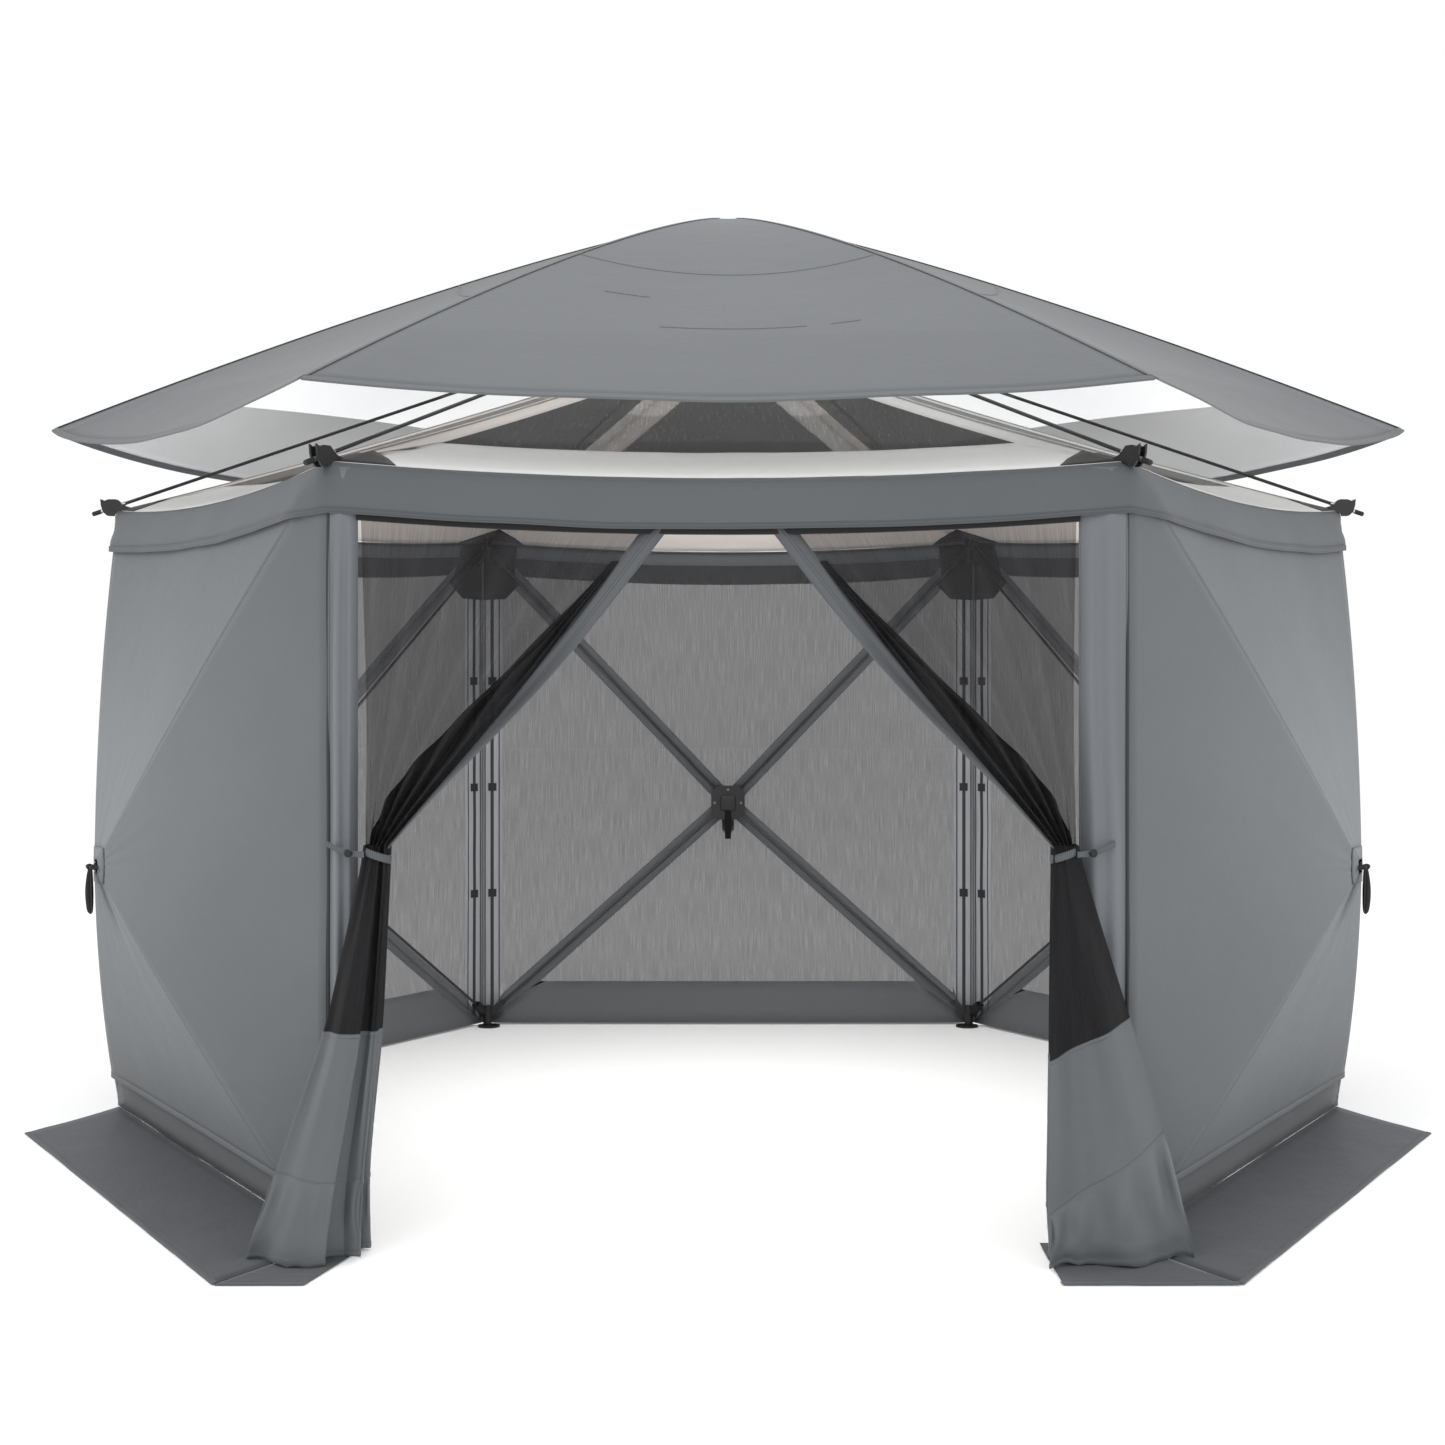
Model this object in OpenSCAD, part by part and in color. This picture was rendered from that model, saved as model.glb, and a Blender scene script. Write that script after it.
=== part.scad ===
// Six-sided pop-up screen house: five hub walls, one door wall, a hub roof and a lift-off rain cover.
// Millimetres, +Z up, origin on the ground at the middle of the plan. The door wall faces -Y.

/* [Plan] */
// Length of one side of the hexagon, corner to corner
side = 1780; // [1600:10:1950]
// Height of the eave at the corners
eave_z = 1750; // [1650:10:1850]
// How far the eave sags half way along a side
eave_sag = 38; // [20:1:60]
// Width of the ground skirt
skirt_w = 320; // [200:5:350]
// How far the skirt's outer edge is cut back at its free ends
skirt_taper = 220; // [100:5:300]
// The same for the back skirt's ends at the two side corners
skirt_side_taper = 360; // [200:5:400]

/* [Walls] */
// How far a wall's middle bulges out when its hub is popped out
wall_bulge = 290; // [250:5:330]
// Height of the wall hubs
wall_hub_z = 790; // [740:5:840]
// Width of a wall hub, across the flats
wall_hub_w = 125; // [110:1:130]
// Depth of the valance that hangs from the eave
valance_h = 115; // [80:1:140]
// Height of the wind panel's hem above the ground
hem_z = 130; // [80:5:200]

/* [Roof] */
// Height of the roof hub's middle
roof_hub_z = 2350; // [2300:5:2400]
// Radius of the roof hub
roof_hub_r = 68; // [64:1:76]
// Height of the roof fabric's peak
canopy_peak_z = 2270; // [2240:5:2290]

/* [Rain cover, shown lifted off] */
// Height of the cover's peak
cover_peak_z = 2610; // [2600:5:2700]
// Height of the cover's two side corners
cover_side_z = 1985; // [1960:5:2020]
// Height of its two front and two back corners
cover_front_z = 1930; // [1920:5:1980]
// How far its edges droop half way between the corners
cover_edge_sag = 50; // [20:1:60]
// Distance of the side corners from the middle
cover_side_r = 1980; // [1900:5:2000]
// Distance of the front and back corners from the middle
cover_front_r = 1860; // [1840:5:2000]

/* [Poles] */
// Diameter of the fibreglass poles
pole_d = 9.5; // [8:0.1:11]
// Diameter of the hinge pins in the hubs
pin_d = 5; // [4:0.1:5]
// Radial play of a pole's eye on its pin
pin_play = 0.05; // [0.02:0.01:0.1]

/* [Hidden] */

// walls with a hub: name and the wall's number, counted anticlockwise from the back right
HUB_WALLS = [["back_right", 0], ["back", 1], ["back_left", 2], ["front_left", 3], ["front_right", 5]];
// the four poles of a wall: name, side (+1 is anticlockwise round the plan) and up (+1) or down (-1)
WALL_POLES = [["top_left", 1, 1], ["top_right", -1, 1], ["bottom_left", 1, -1], ["bottom_right", -1, -1]];

half = side / 2;
apothem = side * cos(30);
cloth = 1.6;            // thickness of every fabric panel
seam_gap = 0.006;       // share by which a big panel is drawn in at its seams
narrow_gap = 0.03;      // the same for narrow panels

top_drop = 8;           // the walls' top edge under the roof's edge
wall_foot_z = 8;        // the walls' bottom edge over the skirt
strap_hole = 0.035;     // share of each wall facet cut off at its hub, for the strap's post
wind_out = 5;           // the wind panel lies this far outside the mesh
valance_out = 11;       // and the valance this far

// wall hub and its poles
hub_t = 39;             // thickness of a wall hub
hub_set_back = 58;      // hub's middle plane inside the fabric's peak
hub_x = wall_bulge - hub_set_back;
pole_slot_w = 14;       // slot in a hub for each pole
pole_slot_h = 29;
wall_pivot_r = 38;      // hinge pins' distance from the wall hub's middle
eye_r = 8;              // eye at a pole's hub end
eye_w = 13.2;
socket_in = 30;         // the corner sockets lie this far inside the wall's plane
socket_side = 70;       // and this far from the corner
socket_drop = 80;       // and this far from the eave or the ground
socket_before = 12;     // socket's length before and behind the point that every pole position passes
socket_behind = 48;
socket_inner_w = 14;
socket_inner_h = 22;
socket_wall = 3;
pole_past = 6;          // pole's end past that point with the hub popped out

// roof hub, its poles and the corner cups that the poles run through
roof_hub_t = 37;
roof_pivot_r = 45;
cup_out = 18;           // cup's middle outside the corner
cup_rise = 10;          // and above the eave
cup_l = 26;
cup_slot_w = 14;        // slot between the cup's cheeks, for the pole
cup_slot_h = 33;
cheek_t = 5;
bar_t = 4.5;            // floor and roof that join the cheeks
// a cheek's outline, out from the corner and up from the eave
CHEEK = [[-62, -7], [14, -7], [18, -15], [34, -15], [46, -4], [52, 14], [54, 34], [44, 28], [30, 33], [8, 33],
    [-14, 15], [-62, 1]];
stem_inset = 45;        // the fitting's stem, inside the corner
stem_r = 15;
ferrule_d = 11;
ferrule_l = 21;
tip_d = 12;
tip_l = 27;

// feet
foot_r = 40;
foot_inset = 58;
foot_t = 6;
stake_inset = 80;
stake_hole_r = 4.5;

// pull strap on the outside of each wall hub
strap_out = 16;         // strap's hinge outside the fabric's peak
strap_w = 34;
strap_l = 117;
strap_t = 9;
strap_eye_r = 6;
post_r = 9;

// door
flap_in = 8;            // the flaps' veil inside the door wall's plane
tie_z = 867;
// left and right of the door
jamb_w = [62, 105];
tie_x = [797, 764];
fall_x = [925, 855];    // where the gathered fall meets the ground, and its half width there
fall_half = [131, 165];
gap_outer = [885, 700]; // where the front skirt ends, at its outer and its inner edge
gap_inner = [800, 694];

fabric_grey = [0.42, 0.43, 0.45];
cover_grey = [0.52, 0.54, 0.55];
mesh_grey = [0.24, 0.24, 0.25];
black = [0.05, 0.05, 0.05];

function sum_of(p, i = 0) = i == len(p) - 1 ? p[i] : p[i] + sum_of(p, i + 1);
function middle(p) = sum_of(p) / len(p);
function normal_of(p) = let (n = cross(p[1] - p[0], p[2] - p[0])) n / norm(n);
function reversed(p) = [for (i = [len(p) - 1:-1:0]) p[i]];
function facing(p, out) = normal_of(p) * out < 0 ? reversed(p) : p;
function drawn_in(p, share) = let (c = middle(p)) [for (q = p) c + (1 - share) * (q - c)];
function between(a, b, f) = a + f * (b - a);
function polar(r, angle, z) = [r * cos(angle), r * sin(angle), z];
function corner(k, r, z) = polar(r, 60 * k, z);
function edge_middle(k, r, z) = polar(r, 60 * k + 30, z);
function on_side(x, pair) = pair[x < 0 ? 0 : 1];
function cover_corner(k) = k % 3 == 0
    ? corner(k, cover_side_r, cover_side_z)
    : corner(k, cover_front_r, cover_front_z);

// points of a wall, in its own frame: X out of the wall's plane, Y along it, Z up
function wall_top(y) = [0, y * half, eave_z - top_drop];
function wall_top_middle() = [0, 0, eave_z - top_drop - eave_sag];
function wall_foot(y, z) = [0, y * half, z];
function wall_peak() = [wall_bulge, 0, wall_hub_z];

// a flat fabric panel: its outer face has the corners p, and it is t thick towards the inside
module panel(p, out, share = seam_gap, t = cloth) {
    face = drawn_in(facing(p, out), share);
    count = len(face);
    back = -t * normal_of(face);
    polyhedron(
        points = concat(face, [for (q = face) q + back]),
        faces = concat(
            [[for (i = [count - 1:-1:0]) i]],
            [[for (i = [0:count - 1]) count + i]],
            [for (i = [0:count - 1]) [i, (i + 1) % count, count + (i + 1) % count, count + i]]
        )
    );
}

// puts a child in the frame of wall k
module on_wall(k) {
    rotate([0, 0, 60 * k + 30]) translate([apothem, 0, 0]) children();
}

// puts a child in the frame of corner k: X straight out, Y along the plan's circle
module on_corner(k) {
    rotate([0, 0, 60 * k]) translate([side, 0, 0]) children();
}

// one facet of a wall, moved out by `out`: its outer edge runs through the points rim, and it narrows to the
// hub, where it is cut off round the strap's post; the facet's ridges run from the points a and b to the hub
module facet(rim, a, b, out) {
    peak = wall_peak();
    points = concat(rim, [between(peak, b, strap_hole), between(peak, a, strap_hole)]);
    panel([for (p = points) p + [out, 0, 0]], [1, 0, 0]);
}

// a wall's facets, hemmed at height hem
module wall_facets(out, hem) {
    low = [for (y = [-1, 1]) wall_foot(y, wall_foot_z)];
    share = (hem - wall_foot_z) / (wall_hub_z - wall_foot_z);
    hem_ridge = [for (p = low) between(p, wall_peak(), share)];
    for (y = [-1, 1]) {
        side_rim = share > 0
            ? [wall_top(y), wall_foot(y, hem), hem_ridge[(y + 1) / 2]]
            : [wall_top(y), low[(y + 1) / 2]];
        facet([wall_top_middle(), wall_top(y)], wall_top_middle(), wall_top(y), out);
        facet(side_rim, wall_top(y), low[(y + 1) / 2], out);
    }
    facet(hem_ridge, low[0], low[1], out);
}

module wall_mesh(k) {
    color(mesh_grey) on_wall(k) wall_facets(0, wall_foot_z);
}

module wind_panel(k) {
    color(fabric_grey) on_wall(k) wall_facets(wind_out, hem_z);
}

// half of a valance over a bulging wall, on side y (-1 or 1)
module bulging_valance_half(y) {
    lift = [valance_out, 0, 0];
    ridge = valance_h / (eave_z - top_drop - wall_hub_z);
    mid_fall = valance_h / (eave_z - top_drop - eave_sag - wall_hub_z);
    top = wall_top(y) + lift + [0, y * 6, 0];
    top_mid = wall_top_middle() + lift;
    low_mid = between(wall_top_middle(), wall_peak(), mid_fall) + lift;
    low_ridge = between(wall_top(y), wall_peak(), ridge) + lift;
    low = [valance_out, y * (half + 6), eave_z - top_drop - valance_h];
    panel([top, top_mid, low_mid], [1, 0, 0], narrow_gap);
    panel([top, low_mid, low_ridge], [1, 0, 0], narrow_gap);
    panel([top, low_ridge, low], [1, 0, 0], narrow_gap);
}

module flat_valance_half(y) {
    top = [valance_out, y * (half + 6), eave_z - top_drop];
    top_mid = wall_top_middle() + [valance_out, 0, 0];
    down = [0, 0, -valance_h];
    panel([top, top_mid, top_mid + down, top + down], [1, 0, 0], narrow_gap);
}

module valance() {
    color(fabric_grey) {
        for (wall = HUB_WALLS, y = [-1, 1]) on_wall(wall[1]) bulging_valance_half(y);
        for (y = [-1, 1]) on_wall(4) flat_valance_half(y);
    }
}

// half a roof panel, with its outer corner cut off round the corner fitting
module roof_canopy() {
    peak = [0, 0, canopy_peak_z];
    color("gainsboro") for (k = [0:5], turn = [0, 1]) {
        tip = corner(k + turn, side, eave_z);
        mid = edge_middle(k, apothem + valance_out + 2, eave_z - eave_sag);
        cut_ridge = between(tip, peak, 0.055);
        cut_edge = between(tip, mid, 0.11);
        panel([peak, cut_ridge, cut_edge, mid], [0, 0, 1]);
    }
}

module rain_cover() {
    peak = [0, 0, cover_peak_z];
    color(cover_grey) for (k = [0:5], turn = [0, 1]) {
        mid = (cover_corner(k) + cover_corner(k + 1)) / 2 - [0, 0, cover_edge_sag];
        panel([peak, cover_corner(k + turn), mid], [0, 0, 1]);
    }
}

// a slot that a pole swings in, from `inner` outwards along X, and its hinge pin's place at `pivot`
module pole_slot(pivot, h) {
    inner = pivot - eye_r - 1.5;
    translate([inner, -pole_slot_w / 2, -h / 2]) cube([200, pole_slot_w, h]);
}

module hinge_pin(pivot) {
    translate([pivot, 0, 0]) rotate([90, 0, 0])
        cylinder(d = pin_d, h = pole_slot_w + 8, center = true, $fn = 48);
}

// where the socket of a pole lies, seen from the wall hub: its angle above the wall's level and its distance
function socket_point(up) = [half - socket_side, (up > 0 ? eave_z - socket_drop : socket_drop) - wall_hub_z];
function pole_angle(side_sign, up) = let (p = socket_point(up)) atan2(p[1], side_sign * p[0]);
function socket_reach(up) = norm(socket_point(up));
function pole_tilt(up) = atan2(hub_x + socket_in, socket_reach(up) - wall_pivot_r);
function pole_reach(up) = norm([socket_reach(up) - wall_pivot_r, hub_x + socket_in]);

// the hub's own frame: X towards a pole in the wall's plane, Z out of the wall
module in_hub_plane(angle) {
    translate([hub_x, 0, wall_hub_z]) rotate([90, 0, 90]) rotate([0, 0, angle]) children();
}

module wall_hub(k) {
    color(black) on_wall(k) {
        difference() {
            in_hub_plane(0) linear_extrude(hub_t, center = true) intersection() {
                square(wall_hub_w, center = true);
                circle(r = 72, $fn = 96);
            }
            for (pole = WALL_POLES) in_hub_plane(pole_angle(pole[1], pole[2]))
                pole_slot(wall_pivot_r, pole_slot_h);
        }
        for (pole = WALL_POLES) in_hub_plane(pole_angle(pole[1], pole[2])) hinge_pin(wall_pivot_r);
        strap_post();
    }
}

// post that comes out through the fabric's peak, with the pin that the pull strap hangs on
module strap_post() {
    from = hub_x + hub_t / 2 - 1;
    to = wall_bulge + strap_out;
    ear_y = strap_w / 2 + 3;
    translate([from, 0, wall_hub_z]) rotate([0, 90, 0]) cylinder(r = post_r, h = to - 10 - from, $fn = 48);
    translate([to - 12, 0, wall_hub_z]) cube([6, 2 * ear_y + 4, 9], center = true);
    for (y = [-ear_y, ear_y]) {
        translate([to, y, wall_hub_z]) rotate([90, 0, 0])
            cylinder(r = strap_eye_r, h = 4, center = true, $fn = 48);
        translate([to - 7.5, y, wall_hub_z]) cube([15, 4, 9], center = true);
    }
    translate([to, 0, wall_hub_z]) rotate([90, 0, 0])
        cylinder(d = pin_d, h = strap_w + 8, center = true, $fn = 48);
}

// padded webbing handle that hangs from the post's pin
module pull_strap(k) {
    pivot = [wall_bulge + strap_out, 0, wall_hub_z];
    color(black) on_wall(k) translate(pivot) difference() {
        union() {
            rotate([90, 0, 0]) cylinder(r = strap_eye_r, h = strap_w, center = true, $fn = 48);
            translate([-3, -strap_w / 2, -strap_l]) cube([strap_t, strap_w, strap_l]);
        }
        rotate([90, 0, 0]) cylinder(d = pin_d + 0.2, h = strap_w + 2, center = true, $fn = 48);
    }
}

// a pole with its eye, lying along X from its pivot: the rod, the eye and the bore
module pole_rod(length) {
    difference() {
        union() {
            rotate([90, 0, 0]) cylinder(r = eye_r, h = eye_w, center = true, $fn = 64);
            rotate([0, 90, 0]) cylinder(d = pole_d, h = length, $fn = 48);
            children();
        }
        rotate([90, 0, 0]) cylinder(d = pin_d + 2 * pin_play, h = eye_w + 2, center = true, $fn = 64);
    }
}

module wall_pole(k, side_sign, up) {
    color(black) on_wall(k) in_hub_plane(pole_angle(side_sign, up))
        translate([wall_pivot_r, 0, 0]) rotate([0, pole_tilt(up), 0])
        pole_rod(pole_reach(up) + pole_past);
}

// socket for a wall pole's end: a closed-ended box, open towards the hub
module pole_socket_outer(side_sign, up) {
    socket_box(side_sign, up, socket_wall, socket_before);
}

module pole_socket_inner(side_sign, up) {
    socket_box(side_sign, up, 0, socket_before + 20);
}

module socket_box(side_sign, up, wall, before) {
    width = socket_inner_w + 2 * wall;
    height = socket_inner_h + 2 * wall;
    translate([-socket_in, 0, wall_hub_z]) rotate([90, 0, 90]) rotate([0, 0, pole_angle(side_sign, up)])
        translate([socket_reach(up) - before, -width / 2, -height / 2])
        cube([before + socket_behind + wall, width, height]);
}

// corner k's two neighbouring walls that have hubs: wall number and the side of that wall
function pole_walls(k) = [
    for (w = HUB_WALLS) if (w[1] == k) [k, -1],
    for (w = HUB_WALLS) if (w[1] == (k + 5) % 6) [(k + 5) % 6, 1]
];

module corner_fitting(k) {
    difference() {
        union() {
            on_corner(k) translate([-stem_inset, 0, eave_z - 75]) cylinder(r = stem_r, h = 71, $fn = 48);
            for (w = pole_walls(k)) on_wall(w[0]) pole_socket_outer(w[1], 1);
            for (w = pole_walls(k)) on_wall(w[0]) socket_bridge(w[1], eave_z - 62);
        }
        for (w = pole_walls(k)) on_wall(w[0]) pole_socket_inner(w[1], 1);
        on_corner(k) translate([-stem_inset - 20, -cup_slot_w / 2, eave_z - 24]) cube([40, cup_slot_w, 30]);
    }
    on_corner(k) translate([0, 0, eave_z]) corner_cup();
}

// web between a socket's far end and the stem
module socket_bridge(side_sign, z) {
    translate([-socket_in - 8, side_sign * (half - 42) - 8, z]) cube([16, 16, 26]);
}

// two horned cheeks that reach from the stem over the fabric's corner, with a floor and a roof for the pole
module corner_cup() {
    for (y = [-1, 1]) translate([0, y * (cup_slot_w + cheek_t) / 2, 0]) rotate([90, 0, 0])
        linear_extrude(cheek_t, center = true) polygon(CHEEK);
    cup_bar(cup_out + 6, cup_rise - (cup_slot_h + bar_t) / 2);
    cup_bar(cup_out, cup_rise + (cup_slot_h + bar_t) / 2);
}

module cup_bar(x, z) {
    translate([x, 0, z]) cube([14, cup_slot_w + 2, bar_t], center = true);
}

module corner_fittings() {
    color(black) for (k = [0:5]) corner_fitting(k);
}

module ground_foot(k) {
    difference() {
        union() {
            on_corner(k) {
                translate([-foot_inset, 0, 0]) cylinder(r = foot_r, h = foot_t, $fn = 64);
                translate([-stem_inset, 0, 0]) cylinder(r = stem_r, h = 75, $fn = 48);
            }
            for (w = pole_walls(k)) on_wall(w[0]) pole_socket_outer(w[1], -1);
            for (w = pole_walls(k)) on_wall(w[0]) socket_bridge(w[1], 36);
        }
        for (w = pole_walls(k)) on_wall(w[0]) pole_socket_inner(w[1], -1);
        on_corner(k) translate([-stake_inset, 0, -1]) cylinder(r = stake_hole_r, h = foot_t + 2, $fn = 48);
    }
}

module ground_feet() {
    color(black) for (k = [0:5]) ground_foot(k);
}

module roof_hub() {
    color(black) translate([0, 0, roof_hub_z]) {
        difference() {
            cylinder(r = roof_hub_r, h = roof_hub_t, center = true, $fn = 96);
            for (k = [0:5]) rotate([0, 0, 60 * k]) pole_slot(roof_pivot_r, roof_hub_t - 10);
        }
        for (k = [0:5]) rotate([0, 0, 60 * k]) hinge_pin(roof_pivot_r);
    }
}

module roof_hub_cap() {
    color(black) translate([0, 0, roof_hub_z + roof_hub_t / 2 + 0.1])
        cylinder(r1 = 52, r2 = 40, h = 8, $fn = 96);
}

roof_run = side + cup_out - roof_pivot_r;
roof_fall = roof_hub_z - eave_z - cup_rise;
roof_tilt = atan2(roof_fall, roof_run);
roof_reach = norm([roof_run, roof_fall]);

// roof pole, with a ferrule on both sides of the corner cup and a rubber tip
module roof_pole(k) {
    gap = cup_l / 2 + 3;
    color(black) translate([0, 0, roof_hub_z]) rotate([0, 0, 60 * k]) translate([roof_pivot_r, 0, 0])
        rotate([0, roof_tilt, 0]) pole_rod(roof_reach + gap + ferrule_l + tip_l - 4) {
            for (x = [-gap - ferrule_l, gap]) translate([roof_reach + x, 0, 0]) rotate([0, 90, 0])
                cylinder(d = ferrule_d, h = ferrule_l, $fn = 48);
            translate([roof_reach + gap + ferrule_l, 0, 0]) rotate([0, 90, 0])
                cylinder(d = tip_d, h = tip_l, $fn = 48);
        }
}

// grey band down one side of the door, on side x (-1 or 1)
module door_jamb(x) {
    low = -apothem;
    near = x * (half - 4);
    far = x * (half - on_side(x, jamb_w));
    top = eave_z - top_drop - 6;
    color(fabric_grey) panel([
        [near, low, wall_foot_z], [far, low, wall_foot_z], [far, low, top], [near, low, top]
    ], [0, -1, 0], narrow_gap);
}

// netting door drawn aside: a veil from the eave to the tie, and the gathered fall under the tie
module door_flap(x) {
    veil_y = -apothem + flap_in;
    top = eave_z - top_drop - eave_sag - 4;
    edge = half - on_side(x, jamb_w) - 4;
    tie = on_side(x, tie_x);
    color(mesh_grey) {
        panel([[x * 60, veil_y, top], [x * edge, veil_y, top], [x * edge, veil_y, tie_z + 70],
            [x * (tie - 20), veil_y, tie_z + 10]], [0, -1, 0], narrow_gap);
        hull() {
            translate([x * tie, -apothem - 34, tie_z - 30]) cylinder(r = 22, h = 30, $fn = 24);
            translate([x * on_side(x, fall_x), -apothem - 100, 6]) scale([on_side(x, fall_half), 78, 1])
                cylinder(r = 1, h = 8, $fn = 32);
        }
    }
}

// strap and knob that hold the flap against the jamb
module tie_back(x) {
    tie = on_side(x, tie_x);
    color(fabric_grey) {
        translate([x * (tie + 42), -apothem - 60, tie_z + 8]) cube([110, 5, 14], center = true);
        translate([x * (tie + 44), -apothem - 62, tie_z + 8]) rotate([90, 0, 0])
            cylinder(r = 9, h = 12, $fn = 32);
        translate([x * (tie + 84), -apothem - 32, tie_z + 8]) cube([5, 60, 14], center = true);
    }
}

// flat ground flap of wall k; cut_low and cut_high are how far its outer edge starts in from each end
module skirt_flap(k, cut_low, cut_high) {
    on_wall(k) linear_extrude(cloth + 1) polygon([
        [2, -half + 4], [skirt_w, -half + cut_low], [skirt_w, half - cut_high], [2, half - 4]
    ]);
}

mitre = skirt_w * tan(30);

// front piece on side x, from the mitred corner to the door's edge
module skirt_front(x) {
    outer = -apothem - skirt_w;
    linear_extrude(cloth + 1) polygon([
        [x * (half - 4), -apothem - 4], [x * (half + mitre - 3), outer],
        [x * on_side(x, gap_outer), outer], [x * on_side(x, gap_inner), -apothem - 4]
    ]);
}

module skirt_side(k, x) {
    color(fabric_grey) {
        skirt_flap(k, x < 0 ? skirt_taper : 3 - mitre, x < 0 ? 3 - mitre : skirt_taper);
        skirt_front(x);
    }
}

module skirt_back() {
    color(fabric_grey) for (k = [0:2])
        skirt_flap(k, k == 0 ? skirt_side_taper : skirt_taper, k == 2 ? skirt_side_taper : skirt_taper);
}

rain_cover();
roof_canopy();
valance();
roof_hub();
roof_hub_cap();
for (k = [0:5]) roof_pole(k);
for (wall = HUB_WALLS) {
    wall_hub(wall[1]);
    pull_strap(wall[1]);
    wall_mesh(wall[1]);
    for (pole = WALL_POLES)
        wall_pole(wall[1], pole[1], pole[2]);
}
wind_panel(3);  // wind_panel_left
wind_panel(5);  // wind_panel_right
corner_fittings();
ground_feet();
door_jamb(-1);  // door_jamb_left
door_jamb(1);  // door_jamb_right
door_flap(-1);  // door_flap_left
door_flap(1);  // door_flap_right
tie_back(-1);  // tie_back_left
tie_back(1);  // tie_back_right
skirt_side(3, -1);  // skirt_left
skirt_side(5, 1);  // skirt_right
skirt_back();
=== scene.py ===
"""Looks of a six-sided pop-up screen house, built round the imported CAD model. Metres, door towards -Y."""

import math

import bmesh
import bpy
import numpy as np
from mathutils import Matrix, Vector, noise


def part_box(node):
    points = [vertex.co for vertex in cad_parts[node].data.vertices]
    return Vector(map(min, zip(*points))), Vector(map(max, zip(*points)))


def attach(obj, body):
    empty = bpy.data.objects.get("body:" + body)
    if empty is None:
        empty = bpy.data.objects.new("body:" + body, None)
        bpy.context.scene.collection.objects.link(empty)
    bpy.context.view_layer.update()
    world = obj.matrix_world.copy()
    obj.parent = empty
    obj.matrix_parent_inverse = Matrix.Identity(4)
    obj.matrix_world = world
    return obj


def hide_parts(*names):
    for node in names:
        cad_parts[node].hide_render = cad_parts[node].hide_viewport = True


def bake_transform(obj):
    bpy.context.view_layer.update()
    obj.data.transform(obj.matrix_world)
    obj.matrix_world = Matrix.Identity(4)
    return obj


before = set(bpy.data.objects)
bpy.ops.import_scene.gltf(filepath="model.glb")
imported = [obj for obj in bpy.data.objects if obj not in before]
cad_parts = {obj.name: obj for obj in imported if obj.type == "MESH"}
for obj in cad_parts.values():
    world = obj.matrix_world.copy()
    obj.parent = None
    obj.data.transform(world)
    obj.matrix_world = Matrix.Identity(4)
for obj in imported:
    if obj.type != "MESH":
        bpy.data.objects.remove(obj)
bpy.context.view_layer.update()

# ---------------------------------------------------------------- sizes, as in the CAD model
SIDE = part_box("ground_feet")[1][0] + 0.018
HALF = SIDE / 2
APOTHEM = SIDE * math.cos(math.radians(30))
EAVE = 1.750
EAVE_SAG = 0.038
TOP_DROP = 0.008
WALL_TOP = EAVE - TOP_DROP
FOOT_Z = 0.008
BULGE = 0.290
HUB_Z = sum(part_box("wall_hub_back")[i][2] for i in (0, 1)) / 2
HUB_IN = 0.058
VALANCE_H = 0.115
VALANCE_OUT = 0.011
HEM_Z = 0.130
HEM_RISE = HEM_Z - FOOT_Z
CANOPY_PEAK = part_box("roof_canopy")[1][2]
ROOF_HUB_Z = sum(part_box("roof_hub")[i][2] for i in (0, 1)) / 2
ROOF_PIVOT_R = 0.045
CUP_OUT = 0.018
CUP_RISE = 0.010
COVER_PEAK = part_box("rain_cover")[1][2] - 0.002
# radius and height of the cover's corners at the tent's sides, and at its front and back
COVER_SIDE = (1.980, 1.985)
COVER_FRONT = (1.880, 1.922)
SKIRT_W = 0.320
SKIRT_TAPER = 0.220
SKIRT_SIDE_TAPER = 0.360
LEAF_W = 0.860
TIE_Z = 0.867
TIE_OUT = 0.034
TIE_TOP = TIE_Z + 0.030
# left and right of the door
GAP_OUTER = {"left": 0.885, "right": 0.700}
GAP_INNER = {"left": 0.800, "right": 0.694}
JAMB_W = {"left": 0.062, "right": 0.105}
TIE_X = {"left": 0.776, "right": 0.744}

WALLS = {"back_right": 0, "back": 1, "back_left": 2, "front_left": 3, "front_right": 5}
DOOR_WALL = 4
UP = Vector((0, 0, 1))
FORWARD = Vector((0, -1, 0))
# the least share of its flat size that a triangular sheet's own area is stated as
LEAST_SHARE = 0.31


# ---------------------------------------------------------------- materials
def linear(rgb):
    """An sRGB colour, 0 to 255, as Blender's linear one."""
    out = []
    for c in rgb:
        c = c / 255
        out.append(c / 12.92 if c <= 0.04045 else ((c + 0.055) / 1.055) ** 2.4)
    return (*out, 1.0)


def shaded(colour, share):
    """A linear colour made darker or paler."""
    return tuple(min(1, c * share) for c in colour[:3]) + (1,)


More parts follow.
